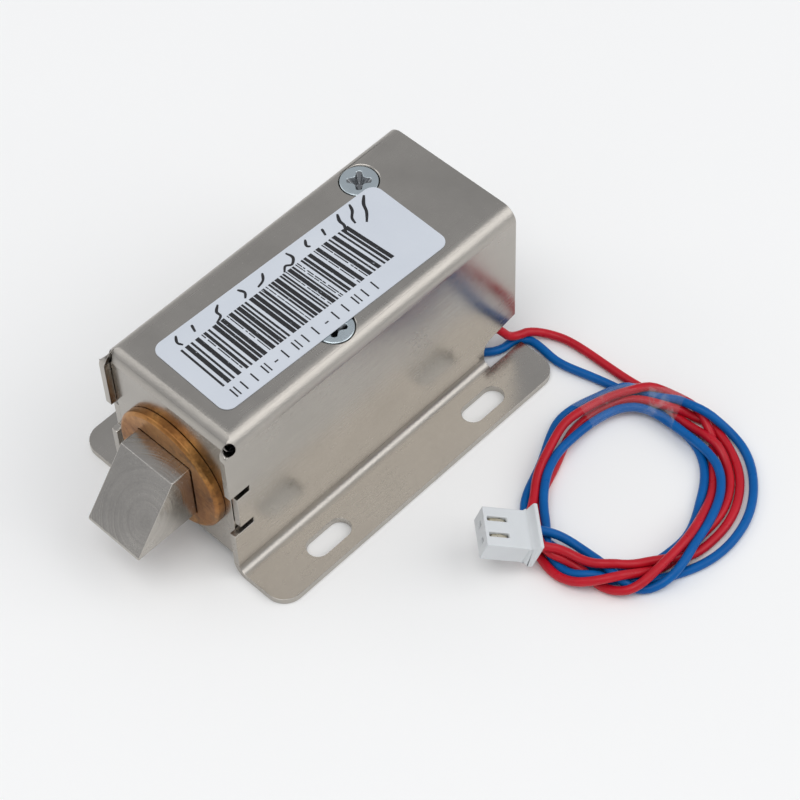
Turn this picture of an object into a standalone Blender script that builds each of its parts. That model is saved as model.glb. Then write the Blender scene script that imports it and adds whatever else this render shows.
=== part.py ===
"""Electronic lock: a pull-in solenoid behind a sprung square bolt, in a folded sheet-metal housing with two leads.

Metres, +Z up. Y runs along the bolt (the bolt points to -Y), X across the housing, z = 0 is the flanges' underside.
Positions below are in millimetres, with y = 0 in the middle of the housing; SHIFT_Y then moves everything so that the
origin is the middle of the lock's base.
"""

import math

import bmesh
import bpy
from mathutils import Matrix, Vector

MM = 0.001

# Housing, one folded sheet
T = 1.04
BODY_W = 23.45
BODY_L = 53.66
BODY_H = 27.73
FLANGE_W = 40.1
FLANGE_CORNER_R = 3.0
TOP_BEND_R = 2.3
FOOT_BEND_R = 1.12
SLOT_W = 3.25
SLOT_L = 7.2
SLOT_X = 16.5
SLOT_Y = 15.05
FLAP_SET_BACK = 1.0
FLAP_HALF_W = 10.5
FLAP_BOTTOM_Z = 1.95
RELIEF_R = 0.8

# Bolt and its drive, on the line x = 0, z = AXIS_Z
AXIS_Z = 13.15
RING_OUT_R = 9.3
RING_BACK_R = 7.95
RING_HOLE = 10.0
BOLT = 9.7
BOLT_TIP_Y = -37.6
BOLT_TOP_Y = -30.4
STROKE = 10.0
PLUNGER_R = 4.0
SPRING_WIRE = 0.9
SPRING_R = 5.2
SPRING_TURNS = 6.5

# Screws
SCREWS = {"mounting_screw_rear": (-7.5, 16.65), "mounting_screw_front": (7.77, -3.38)}
SCREW_HEAD_R = 2.6
SCREW_R = 1.25

# Label
LABEL_W, LABEL_L, LABEL_T = 14.6, 39.4, 0.12
LABEL_AT = (1.1, -2.5)
LABEL_TURN = math.radians(-1.8)

# Leads
LEAD_R = 0.625
COIL_AT = (41.6, 19.6)
COIL_OUT_R, COIL_IN_R = 16.3, 10.9

SHIFT_Y = -(BOLT_TIP_Y + BODY_L / 2) / 2

HALF_L = BODY_L / 2
WALL_OUT = BODY_W / 2
WALL_IN = WALL_OUT - T
TOP_IN = BODY_H - T

for old in list(bpy.data.objects):
    bpy.data.objects.remove(old, do_unlink=True)
for old in list(bpy.data.collections):
    bpy.data.collections.remove(old)

parts = bpy.data.collections.new("electronic_lock")
cutters = bpy.data.collections.new("cutters")
bpy.context.scene.collection.children.link(parts)
bpy.context.scene.collection.children.link(cutters)
cutters.hide_render = True


def material(name, colour, metallic, roughness, alpha=1.0):
    m = bpy.data.materials.new(name)
    m.use_nodes = True
    m.diffuse_color = (*colour, alpha)
    b = m.node_tree.nodes["Principled BSDF"]
    b.inputs["Base Color"].default_value = (*colour, 1.0)
    b.inputs["Metallic"].default_value = metallic
    b.inputs["Roughness"].default_value = roughness
    b.inputs["Alpha"].default_value = alpha
    return m


PLATED = material("plated_steel", (0.58, 0.56, 0.53), 1.0, 0.38)
BRONZE = material("bronze", (0.42, 0.24, 0.11), 1.0, 0.4)
BOLT_STEEL = material("bolt_steel", (0.6, 0.58, 0.55), 1.0, 0.35)
WASHER_STEEL = material("washer_steel", (0.6, 0.6, 0.6), 1.0, 0.35)
IRON = material("plunger_iron", (0.55, 0.55, 0.56), 1.0, 0.35)
CORE_IRON = material("core_iron", (0.5, 0.5, 0.51), 1.0, 0.4)
PIN_STEEL = material("pin_steel", (0.55, 0.55, 0.55), 1.0, 0.3)
SPRING_STEEL = material("spring_steel", (0.5, 0.5, 0.5), 1.0, 0.3)
YOKE_STEEL = material("yoke_steel", (0.58, 0.58, 0.57), 1.0, 0.4)
NYLON = material("nylon", (0.82, 0.8, 0.74), 0.0, 0.5)
COPPER = material("enamelled_copper", (0.45, 0.17, 0.07), 1.0, 0.35)
TAPE = material("winding_tape", (0.75, 0.55, 0.12), 0.0, 0.4)
ZINC = material("zinc_screw", (0.55, 0.6, 0.66), 1.0, 0.35)
PAPER = material("label_stock", (0.72, 0.76, 0.8), 0.0, 0.6)
RED = material("red_pvc", (0.55, 0.02, 0.03), 0.0, 0.4)
BLUE = material("blue_pvc", (0.0, 0.1, 0.38), 0.0, 0.4)
BUNDLE = material("lead_bundle", (0.28, 0.06, 0.2), 0.0, 0.4)
CLEAR = material("clear_tape", (0.85, 0.87, 0.88), 0.0, 0.2, 0.5)
WHITE = material("plug_nylon", (0.8, 0.8, 0.77), 0.0, 0.45)
TIN = material("tinned_brass", (0.62, 0.58, 0.48), 1.0, 0.35)


def place(name, bm, mat, smooth=None, home=parts):
    """Makes an object of a bmesh in millimetres. smooth: the angle over which an edge stays sharp."""
    bmesh.ops.recalc_face_normals(bm, faces=bm.faces)
    bmesh.ops.transform(bm, matrix=Matrix.Scale(MM, 4) @ Matrix.Translation((0, SHIFT_Y, 0)), verts=bm.verts)
    mesh = bpy.data.meshes.new(name)
    bm.to_mesh(mesh)
    bm.free()
    if smooth:
        mesh.polygons.foreach_set("use_smooth", [True] * len(mesh.polygons))
        mesh.set_sharp_from_angle(angle=math.radians(smooth))
    if mat:
        mesh.materials.append(mat)
    obj = bpy.data.objects.new(name, mesh)
    home.objects.link(obj)
    if home is cutters:
        obj.hide_render = True
        obj.display_type = "WIRE"
    return obj


def boolean(obj, operation, other):
    m = obj.modifiers.new(other.name, "BOOLEAN")
    m.operation = operation
    m.solver = "EXACT"
    m.object = other
    return m


def prism(points, axis, low, high):
    """A closed outline pushed along X, Y or Z. points are in the other two axes, in X, Y, Z order."""
    bm = bmesh.new()

    def at(p, h):
        a, b = p
        return {"X": (h, a, b), "Y": (a, h, b), "Z": (a, b, h)}[axis]

    first = [bm.verts.new(at(p, low)) for p in points]
    last = [bm.verts.new(at(p, high)) for p in points]
    bm.faces.new(first)
    bm.faces.new(list(reversed(last)))
    n = len(points)
    for i in range(n):
        j = (i + 1) % n
        bm.faces.new((first[j], first[i], last[i], last[j]))
    return bm


def box(x0, x1, y0, y1, z0, z1):
    return prism([(x0, y0), (x1, y0), (x1, y1), (x0, y1)], "Z", z0, z1)


def arc(cx, cy, r, a0, a1, n):
    """Points of an arc, angles in degrees, both ends included."""
    return [
        (cx + r * math.cos(math.radians(a0 + (a1 - a0) * i / n)), cy + r * math.sin(math.radians(a0 + (a1 - a0) * i / n)))
        for i in range(n + 1)
    ]


def rounded(w, h, r, n, cx=0.0, cy=0.0):
    """A rectangle with rounded corners."""
    out = []
    for sx, sy, a in ((1, 1, 0), (-1, 1, 90), (-1, -1, 180), (1, -1, 270)):
        out += arc(cx + sx * (w / 2 - r), cy + sy * (h / 2 - r), r, a, a + 90, n)
    return out


def turned(profile, n, along="Y", at=(0.0, 0.0)):
    """A profile of (position along the axis, radius) turned round. It is closed through the axis where its ends have
    radius 0, and otherwise from its last point to its first. at: the axis's other two coordinates."""
    bm = bmesh.new()
    rows = []
    for s, r in profile:
        ring = []
        for i in range(1 if r == 0 else n):
            a = 2 * math.pi * i / n
            u, v = r * math.cos(a), r * math.sin(a)
            p = {"X": (s, at[0] + u, at[1] + v), "Y": (at[0] + u, s, at[1] + v), "Z": (at[0] + u, at[1] + v, s)}[along]
            ring.append(bm.verts.new(p))
        rows.append(ring)
    pairs = list(zip(rows, rows[1:]))
    if profile[0][1] and profile[-1][1]:
        pairs.append((rows[-1], rows[0]))
    for one, two in pairs:
        if len(one) == 1 and len(two) == 1:
            continue
        for i in range(n):
            j = (i + 1) % n
            if len(one) == 1:
                bm.faces.new((one[0], two[i], two[j]))
            elif len(two) == 1:
                bm.faces.new((one[i], one[j], two[0]))
            else:
                bm.faces.new((one[i], one[j], two[j], two[i]))
    return bm


def cut_with(obj, name, bm):
    return boolean(obj, "DIFFERENCE", place(name, bm, None, home=cutters))


def bevel(obj, width, segments=2, angle=40):
    m = obj.modifiers.new("edges", "BEVEL")
    m.width = width * MM
    m.segments = segments
    m.limit_method = "ANGLE"
    m.angle_limit = math.radians(angle)
    m.harden_normals = False
    return m


# --- housing -----------------------------------------------------------------------------------------------------
def channel_outline(n=5):
    """The folded sheet's section, x and z: flange, foot bend, wall, top bend, half of the top plate, and its mirror."""
    foot_x = WALL_OUT + FOOT_BEND_R
    outer = [(FLANGE_W / 2, 0.0), (FLANGE_W / 2, T)]
    outer += list(reversed(arc(foot_x, T + FOOT_BEND_R, FOOT_BEND_R, 180, 270, n)))
    outer += arc(WALL_OUT - TOP_BEND_R, BODY_H - TOP_BEND_R, TOP_BEND_R, 0, 90, n)
    inner_r = TOP_BEND_R - T
    inner = list(reversed(arc(WALL_IN - inner_r, TOP_IN - inner_r, inner_r, 0, 90, n)))
    inner += arc(foot_x, T + FOOT_BEND_R, FOOT_BEND_R + T, 180, 270, n)
    left_outer = [(-x, z) for x, z in reversed(outer)]
    left_inner = [(-x, z) for x, z in reversed(inner)]
    return outer + left_outer + left_inner + inner


def flap_outline(n=5):
    """Top plate's front end, its bend and the front flap, y and z."""
    front = -HALF_L + FLAP_SET_BACK
    r = TOP_BEND_R
    out = [(front + r + 5.0, TOP_IN), (front + r + 5.0, BODY_H)]
    out += arc(front + r, BODY_H - r, r, 90, 180, n)
    out += [(front, FLAP_BOTTOM_Z), (front + T, FLAP_BOTTOM_Z)]
    out += list(reversed(arc(front + r, BODY_H - r, r - T, 90, 180, n)))
    return out


housing = place("housing", prism(channel_outline(), "Y", -HALF_L, HALF_L), PLATED, smooth=35)
cut_with(housing, "cut_top_front", box(-FLAP_HALF_W, FLAP_HALF_W, -HALF_L - 2, -HALF_L + FLAP_SET_BACK + TOP_BEND_R + 1.0, -2, BODY_H + 2))
flap = place("flap", prism(flap_outline(), "X", -FLAP_HALF_W, FLAP_HALF_W), PLATED, smooth=35, home=cutters)
# The side bends run out at the front in a curve down to the walls' lips, beside the flap's bend.
front, bend_x, bend_z = -HALF_L + FLAP_SET_BACK, WALL_OUT - TOP_BEND_R, BODY_H - TOP_BEND_R
bend_y = front + TOP_BEND_R
lip_z = 24.9
over_front = [(bend_y + (bend_y + HALF_L) * math.cos(a), lip_z + (BODY_H - lip_z) * math.sin(a)) for a in [math.radians(90 + 15 * i) for i in range(7)]]
over_front += [(-HALF_L - 2, lip_z), (-HALF_L - 2, BODY_H + 1), (bend_y, BODY_H + 1)]
cut_with(housing, "cut_before_bend", prism(over_front, "X", -15, 15))
for side, tag in ((1, "right"), (-1, "left")):
    over_side = arc(bend_x, bend_z, TOP_BEND_R, 90, 0, 5) + [(WALL_OUT + 1, bend_z), (WALL_OUT + 1, BODY_H + 1), (bend_x, BODY_H + 1)]
    cut_with(flap, f"cut_beside_bend_{tag}", prism([(side * x, z) for x, z in over_side], "Y", front - 1, bend_y + 6))
boolean(housing, "UNION", flap)
# The flap's bend is tied to the top plate only; round relief holes free its corners.
for side, tag in ((1, "right"), (-1, "left")):
    bm = turned([(-2.5, 0.0), (-2.5, RELIEF_R), (3.0, RELIEF_R), (3.0, 0.0)], 20, "Z")
    towards = Vector((side * 0.65, -0.45, 0.61)).normalized()
    turn = towards.to_track_quat("Z", "Y").to_matrix().to_4x4()
    bmesh.ops.transform(bm, matrix=Matrix.Translation((side * 11.35, front + 0.33, bend_z + 1.02)) @ turn, verts=bm.verts)
    cut_with(housing, f"cut_relief_{tag}", bm)
    # Front edge of each wall: a notch, with a slit along its top.
    x0, x1 = sorted((side * (WALL_IN - 0.08), side * (WALL_OUT + 1.0)))
    cut_with(housing, f"cut_notch_{tag}", box(x0, x1, -HALF_L - 1, -HALF_L + 1.1, 10.05 if side > 0 else 11.3, 17.2))
    cut_with(housing, f"cut_slit_{tag}", box(x0 + 0.05, x1 - 0.05, -HALF_L - 1, -HALF_L + 3.4, 16.1, 17.25))
    # Round off the flange's corners.
    for end in (-1, 1):
        cx, cy, r = side * (FLANGE_W / 2 - FLANGE_CORNER_R), end * (HALF_L - FLANGE_CORNER_R), FLANGE_CORNER_R
        outline = [(cx + side * r * math.cos(a), cy + end * r * math.sin(a)) for a in [math.radians(90 * i / 6) for i in range(7)]]
        outline = [(cx + side * (r + 1), cy), (cx + side * (r + 1), cy + end * (r + 1)), (cx, cy + end * (r + 1))] + list(reversed(outline))
        cut_with(housing, f"cut_corner_{tag}_{end + 1}", prism(outline, "Z", -1, T + 1))
    for end in (-1, 1):
        outline = arc(side * SLOT_X, end * SLOT_Y + (SLOT_L - SLOT_W) / 2, SLOT_W / 2, 0, 180, 8)
        outline += arc(side * SLOT_X, end * SLOT_Y - (SLOT_L - SLOT_W) / 2, SLOT_W / 2, 180, 360, 8)
        cut_with(housing, f"cut_slot_{tag}_{end + 1}", prism(outline, "Z", -1, T + 1))
# Second slit of the right wall, and its lead cut-out, which takes the foot bend away at the rear.
cut_with(housing, "cut_slit_low", box(WALL_IN - 0.03, WALL_OUT + 1, -HALF_L - 1, -HALF_L + 3.4, 9.0, 10.1))
lead_cut = [(20.5, -1.0), (20.5, 3.6), (20.85, 4.6), (21.7, 5.1), (HALF_L + 1, 6.3), (HALF_L + 1, -1.0)]
cut_with(housing, "cut_lead_exit", prism(lead_cut, "X", WALL_IN - 3, 12.87))
cut_with(housing, "cut_bolt_hole", turned([(-HALF_L - 2, 0), (-HALF_L - 2, RING_BACK_R + 0.15), (-HALF_L + 4, RING_BACK_R + 0.15), (-HALF_L + 4, 0)], 32, "Y", (0, AXIS_Z)))
for name, (x, y) in SCREWS.items():
    r = SCREW_HEAD_R + 0.15
    cut_with(housing, f"cut_{name}", turned([(TOP_IN - 1, 0), (TOP_IN - 1, 1.6), (TOP_IN + 0.05, 1.65), (BODY_H - 0.45, r), (BODY_H + 1, r), (BODY_H + 1, 0)], 24, "Z", (x, y)))

# --- ring, bolt and what moves with it ----------------------------------------------------------------------------
flap_face = -HALF_L + FLAP_SET_BACK
front_ring = place(
    "front_ring",
    turned(
        [
            (flap_face + T + 0.55, 0),
            (flap_face + T + 0.55, RING_BACK_R),
            (flap_face - 0.12, RING_BACK_R),
            (flap_face - 0.12, RING_OUT_R),
            (flap_face - 1.1, RING_OUT_R),
            (flap_face - 1.45, RING_OUT_R - 0.45),
            (flap_face - 1.45, 0),
        ],
        48,
        "Y",
        (0, AXIS_Z),
    ),
    BRONZE,
    smooth=35,
)
cut_with(front_ring, "cut_square_hole", prism(rounded(RING_HOLE, RING_HOLE, 0.3, 2, 0, AXIS_Z), "Y", flap_face - 3, flap_face + 4))

ring_back = flap_face + T + 0.55
h = BOLT / 2
low, high = AXIS_Z - h, AXIS_Z + h
bolt_back = ring_back + 0.05
side_view = [(bolt_back, low), (bolt_back, high), (BOLT_TOP_Y, high), (BOLT_TIP_Y, low + 0.45), (BOLT_TIP_Y, low)]
latch_bolt = place("latch_bolt", prism(side_view, "X", -h, h), BOLT_STEEL, smooth=30)
bevel(latch_bolt, 0.35, 2, 60)
boolean(latch_bolt, "UNION", place("bolt_tail", turned([(bolt_back - 2, 0), (bolt_back - 2, 2.5), (bolt_back + 8.2, 2.5), (bolt_back + 8.2, 0)], 24, "Y", (0, AXIS_Z)), BOLT_STEEL, smooth=35, home=cutters))
pin_y = bolt_back + 5.0
cut_with(latch_bolt, "cut_tail_pin", turned([(-5, 0), (-5, 1.15), (5, 1.15), (5, 0)], 16, "X", (pin_y, AXIS_Z)))

washer_y = bolt_back + 0.12
stop_washer = place("stop_washer", turned([(washer_y, 2.65), (washer_y, 6.7), (washer_y + 1.0, 6.7), (washer_y + 1.0, 2.65)], 40, "Y", (0, AXIS_Z)), WASHER_STEEL, smooth=35)

plunger_front = washer_y + 1.0 + 0.12
plunger_back = 4.0
plunger = place(
    "plunger",
    turned(
        [
            (plunger_front + 8.6, 0),
            (plunger_front + 8.6, 2.65),
            (plunger_front, 2.65),
            (plunger_front, PLUNGER_R - 0.3),
            (plunger_front + 0.3, PLUNGER_R),
            (plunger_back - 0.5, PLUNGER_R),
            (plunger_back, PLUNGER_R - 0.5),
            (plunger_back, 0),
        ],
        32,
        "Y",
        (0, AXIS_Z),
    ),
    IRON,
    smooth=35,
)
cut_with(plunger, "cut_plunger_pin", turned([(-5, 0), (-5, 1.15), (5, 1.15), (5, 0)], 16, "X", (pin_y, AXIS_Z)))
cross_pin = place("cross_pin", turned([(-3.95, 0), (-3.95, 0.8), (-3.8, 1.0), (3.8, 1.0), (3.95, 0.8), (3.95, 0)], 16, "X", (pin_y, AXIS_Z)), PIN_STEEL, smooth=35)

# --- solenoid -----------------------------------------------------------------------------------------------------
YOKE_Y0, YOKE_Y1, YOKE_T = -6.6, 24.0, 1.4
WEB_Z1 = TOP_IN - 0.3
yoke = place(
    "yoke_frame",
    prism(
        [
            (YOKE_Y0, 3.2),
            (YOKE_Y0, WEB_Z1 - 1.0),
            (YOKE_Y0 + 0.3, WEB_Z1 - 0.3),
            (YOKE_Y0 + 1.0, WEB_Z1),
            (YOKE_Y1 - 1.0, WEB_Z1),
            (YOKE_Y1 - 0.3, WEB_Z1 - 0.3),
            (YOKE_Y1, WEB_Z1 - 1.0),
            (YOKE_Y1, 3.2),
            (YOKE_Y1 - YOKE_T, 3.2),
            (YOKE_Y1 - YOKE_T, WEB_Z1 - YOKE_T),
            (YOKE_Y0 + YOKE_T, WEB_Z1 - YOKE_T),
            (YOKE_Y0 + YOKE_T, 3.2),
        ],
        "X",
        -9.5,
        9.5,
    ),
    YOKE_STEEL,
    smooth=35,
)
cut_with(yoke, "cut_yoke_front", turned([(YOKE_Y0 - 1, 0), (YOKE_Y0 - 1, PLUNGER_R + 0.4), (YOKE_Y0 + YOKE_T + 1, PLUNGER_R + 0.4), (YOKE_Y0 + YOKE_T + 1, 0)], 32, "Y", (0, AXIS_Z)))
cut_with(yoke, "cut_yoke_rear", turned([(YOKE_Y1 - YOKE_T - 1, 0), (YOKE_Y1 - YOKE_T - 1, 3.15), (YOKE_Y1 + 1, 3.15), (YOKE_Y1 + 1, 0)], 24, "Y", (0, AXIS_Z)))
for name, (x, y) in SCREWS.items():
    cut_with(yoke, f"cut_thread_{name}", turned([(WEB_Z1 - YOKE_T - 1, 0), (WEB_Z1 - YOKE_T - 1, SCREW_R + 0.1), (WEB_Z1 + 1, SCREW_R + 0.1), (WEB_Z1 + 1, 0)], 16, "Z", (x, y)))
    screw = place(
        name,
        turned(
            [
                (WEB_Z1 - YOKE_T - 1.2, 0),
                (WEB_Z1 - YOKE_T - 1.2, SCREW_R - 0.35),
                (WEB_Z1 - YOKE_T - 0.8, SCREW_R),
                (TOP_IN - 0.02, SCREW_R),
                (TOP_IN + 0.12, 1.5),
                (BODY_H - 0.3, SCREW_HEAD_R - 0.15),
                (BODY_H - 0.18, SCREW_HEAD_R),
                (BODY_H - 0.1, SCREW_HEAD_R - 0.1),
                (BODY_H - 0.05, SCREW_HEAD_R - 0.6),
                (BODY_H - 0.05, 0),
            ],
            24,
            "Z",
            (x, y),
        ),
        ZINC,
        smooth=35,
    )
    star = []
    for k in range(4):
        a = math.radians(90 * k + 20)
        for r, d in ((1.45, -0.28), (1.45, 0.28), (0.45, 0.785)):
            star.append((x + r * math.cos(a + d), y + r * math.sin(a + d)))
    cut_with(screw, f"cut_recess_{name}", prism(star, "Z", BODY_H - 0.75, BODY_H + 1))

BOBBIN_Y0, BOBBIN_Y1 = YOKE_Y0 + YOKE_T + 0.15, YOKE_Y1 - YOKE_T - 0.15
FLANGE_T = 1.2
bobbin = place(
    "bobbin",
    turned(
        [
            (BOBBIN_Y0, PLUNGER_R + 0.3),
            (BOBBIN_Y0, 9.9),
            (BOBBIN_Y0 + FLANGE_T, 9.9),
            (BOBBIN_Y0 + FLANGE_T, 5.1),
            (BOBBIN_Y1 - FLANGE_T, 5.1),
            (BOBBIN_Y1 - FLANGE_T, 9.9),
            (BOBBIN_Y1, 9.9),
            (BOBBIN_Y1, PLUNGER_R + 0.3),
        ],
        40,
        "Y",
        (0, AXIS_Z),
    ),
    NYLON,
    smooth=35,
)
w0, w1 = BOBBIN_Y0 + FLANGE_T + 0.15, BOBBIN_Y1 - FLANGE_T - 0.15
winding = place("winding", turned([(w0, 5.25), (w0, 9.0), (w1, 9.0), (w1, 5.25)], 40, "Y", (0, AXIS_Z)), COPPER, smooth=35)
winding_tape = place("winding_tape", turned([(w0, 9.15), (w0, 9.4), (w1, 9.4), (w1, 9.15)], 40, "Y", (0, AXIS_Z)), TAPE, smooth=35)
core_front = plunger_back + STROKE + 0.5
fixed_core = place(
    "fixed_core",
    turned(
        [
            (core_front, 0),
            (core_front, PLUNGER_R - 0.4),
            (core_front + 0.4, PLUNGER_R),
            (BOBBIN_Y1, PLUNGER_R),
            (BOBBIN_Y1, 3.0),
            (YOKE_Y1 + 0.15, 3.0),
            (YOKE_Y1 + 0.15, 3.7),
            (YOKE_Y1 + 0.7, 3.5),
            (YOKE_Y1 + 0.95, 2.8),
            (YOKE_Y1 + 0.95, 0),
        ],
        32,
        "Y",
        (0, AXIS_Z),
    ),
    CORE_IRON,
    smooth=35,
)


# --- curves: spring and leads -------------------------------------------------------------------------------------
def tube(name, points, radius, mat, bevel_resolution=2):
    """A round bar through the points, with closed ends."""
    curve = bpy.data.curves.new(name, "CURVE")
    curve.dimensions = "3D"
    spline = curve.splines.new("POLY")
    spline.points.add(len(points) - 1)
    for p, q in zip(spline.points, points):
        p.co = (q[0] * MM, (q[1] + SHIFT_Y) * MM, q[2] * MM, 1)
    curve.bevel_depth = radius * MM
    curve.bevel_resolution = bevel_resolution
    curve.use_fill_caps = True
    curve.materials.append(mat)
    spline.use_smooth = True
    obj = bpy.data.objects.new(name, curve)
    parts.objects.link(obj)
    return obj


spring_front = washer_y + 1.0 + SPRING_WIRE / 2 + 0.15
spring_back = YOKE_Y0 - SPRING_WIRE / 2 - 0.15
coil = []
steps = int(SPRING_TURNS * 14)
for i in range(steps + 1):
    f = i / steps
    a = 2 * math.pi * SPRING_TURNS * f
    # The end turns lie flat, the others are open.
    flat = 0.9 / SPRING_TURNS
    g = min(max((f - flat) / (1 - 2 * flat), 0.0), 1.0)
    rise = SPRING_WIRE * 1.08
    if f < flat:
        y = spring_front + rise * f / flat
    elif f > 1 - flat:
        y = spring_back - rise * (1 - f) / flat
    else:
        y = spring_front + rise + (spring_back - spring_front - 2 * rise) * g
    coil.append((SPRING_R * math.cos(a), y, AXIS_Z + SPRING_R * math.sin(a)))
tube("return_spring", coil, SPRING_WIRE / 2, SPRING_STEEL)

# --- label --------------------------------------------------------------------------------------------------------
bm = prism(rounded(LABEL_W, LABEL_L, 1.5, 4), "Z", BODY_H + 0.03, BODY_H + 0.03 + LABEL_T)
bmesh.ops.transform(bm, matrix=Matrix.Translation((*LABEL_AT, 0)) @ Matrix.Rotation(LABEL_TURN, 4, "Z"), verts=bm.verts)
place("label", bm, PAPER)


# --- leads --------------------------------------------------------------------------------------------------------
def smooth_path(keys, step):
    """Catmull-Rom curve through the keys, at even steps."""
    pts = [Vector(k) for k in keys]
    pts = [2 * pts[0] - pts[1]] + pts + [2 * pts[-1] - pts[-2]]
    fine = []
    for a, b, c, d in zip(pts, pts[1:], pts[2:], pts[3:]):
        for i in range(24):
            t = i / 24
            fine.append(0.5 * ((2 * b) + (c - a) * t + (2 * a - 5 * b + 4 * c - d) * t * t + (3 * b - a - 3 * c + d) * t ** 3))
    fine.append(pts[-2])
    total = sum((q - p).length for p, q in zip(fine, fine[1:]))
    n = max(2, round(total / step))
    out, walked, k = [fine[0]], 0.0, 1
    for p, q in zip(fine, fine[1:]):
        d = (q - p).length
        while k < n and walked + d >= total * k / n:
            out.append(p.lerp(q, (total * k / n - walked) / d))
            k += 1
        walked += d
    out.append(fine[-1])
    return out


def meets_coil(angle_deg, z):
    """A point just outside the coil, at this angle round its middle."""
    a = math.radians(angle_deg)
    r = COIL_OUT_R + 0.3
    return (COIL_AT[0] + r * math.cos(a), COIL_AT[1] + r * math.sin(a), z)


red_keys = [(7.3, 18.4, 5.0), (8.2, 20.0, 3.7), (10.2, 22.1, 3.0), (11.9, 25.0, 2.8), (12.5, 27.4, 2.4), (14.0, 29.6, 1.4), (16.6, 30.6, 0.75), (20.5, 31.3, 0.68), (25.0, 31.9, 0.68), meets_coil(138, 0.85)]
blue_keys = [(5.9, 16.4, 4.3), (7.6, 19.0, 2.3), (9.8, 21.5, 1.0), (11.2, 23.8, 0.72), (11.75, 25.7, 0.68), (12.25, 27.5, 0.68), (13.9, 28.3, 0.68), (16.6, 28.3, 0.68), (20.5, 28.5, 0.68), meets_coil(148, 0.85)]
tube("red_lead", smooth_path(red_keys, 1.6), LEAD_R, RED)
tube("blue_lead", smooth_path(blue_keys, 1.6), LEAD_R, BLUE)

place(
    "lead_coil",
    turned(
        [
            (0.9, COIL_IN_R + 0.3),
            (0.35, COIL_IN_R + 1.0),
            (0.35, COIL_OUT_R - 1.0),
            (0.9, COIL_OUT_R),
            (2.5, COIL_OUT_R),
            (3.35, COIL_OUT_R - 1.1),
            (3.35, COIL_IN_R + 1.3),
            (2.5, COIL_IN_R),
        ],
        48,
        "Z",
        COIL_AT,
    ),
    BUNDLE,
    smooth=40,
)
# Clear tape round one side of the bundle: a sleeve along part of the circle.
bm = bmesh.new()
sections = []
outer = [(COIL_OUT_R + 0.4, 0.06), (COIL_OUT_R + 0.4, 3.7), (COIL_IN_R - 0.4, 3.7), (COIL_IN_R - 0.4, 0.06)]
inner = [(COIL_OUT_R + 0.2, 0.2), (COIL_OUT_R + 0.2, 3.52), (COIL_IN_R - 0.2, 3.52), (COIL_IN_R - 0.2, 0.2)]
for i in range(9):
    a = math.radians(92 + 34 * i / 8)
    sections.append(
        [[bm.verts.new((COIL_AT[0] + r * math.cos(a), COIL_AT[1] + r * math.sin(a), z)) for r, z in ring] for ring in (outer, inner)]
    )
for one, two in zip(sections, sections[1:]):
    for k in range(4):
        m = (k + 1) % 4
        bm.faces.new((one[0][k], one[0][m], two[0][m], two[0][k]))
        bm.faces.new((one[1][m], one[1][k], two[1][k], two[1][m]))
for end in (sections[0], sections[-1]):
    for k in range(4):
        m = (k + 1) % 4
        bm.faces.new((end[0][k], end[0][m], end[1][m], end[1][k]))
place("coil_tape", bm, CLEAR, smooth=40)

# --- plug ---------------------------------------------------------------------------------------------------------
PLUG_AT = Vector((37.42, 1.19, 4.6))
along = Vector((-0.608, -0.721, 0.331)).normalized()
across = along.cross(Vector((0, 0, 1))).normalized()
up = across.cross(along).normalized()
to_plug = Matrix((
    (across.x, along.x, up.x, PLUG_AT.x),
    (across.y, along.y, up.y, PLUG_AT.y),
    (across.z, along.z, up.z, PLUG_AT.z),
    (0, 0, 0, 1),
))
if to_plug.determinant() < 0:
    raise ValueError("the plug's axes must be right-handed")


def plug_piece(bm):
    bmesh.ops.transform(bm, matrix=to_plug, verts=bm.verts)
    return bm


# A box with a thin rim at its wire end; each way narrows to a pin hole at the mouth and has a window on top.
plug = place("connector_housing", plug_piece(box(-3.08, 3.08, -0.4, 6.64, -1.65, 1.65)), WHITE)
rim = [(-0.77, -1.85), (-0.77, 2.86), (-0.25, 2.86), (0.1, 2.1), (0.75, 1.5), (0.75, -1.5), (0.0, -1.85)]
boolean(plug, "UNION", place("plug_rim", plug_piece(prism(rim, "X", -3.5, 3.5)), WHITE, home=cutters))
for side in (-1, 1):
    # The rim narrows to the body's width in front of the plate.
    edge = [(side * 3.09, 0.8), (side * 3.2, 0.35), (side * 3.55, -0.1), (side * 4.2, -0.1), (side * 4.2, 0.8)]
    cut_with(plug, f"cut_rim_{side + 1}", plug_piece(prism(edge, "Z", -3, 4)))
for side, tag in ((-1, "red"), (1, "blue")):
    x = side * 1.25
    cut_with(plug, f"cut_way_{tag}", plug_piece(box(x - 0.85, x + 0.85, -3, 5.95, -0.85, 0.85)))
    cut_with(plug, f"cut_pin_hole_{tag}", plug_piece(box(x - 0.45, x + 0.45, 5.5, 7.5, -0.45, 0.45)))
    cut_with(plug, f"cut_window_{tag}", plug_piece(box(x - 0.35, x + 0.35, 3.35, 6.15, 0.3, 3)))
    place(f"terminal_{tag}", plug_piece(box(x - 0.6, x + 0.6, 0.1, 5.75, -0.55, 0.55)), TIN)
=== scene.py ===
"""Electronic lock on a pale floor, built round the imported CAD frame.

Lengths below are in millimetres in the lock's own layout, where y = 0 is the middle of the housing; SHIFT_Y moves that
layout into the row frame, whose origin is the middle of the lock's base. MM turns them into metres.
"""

import math
import random

import bmesh
import bpy
import numpy as np
from mathutils import Matrix, Vector


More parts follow.
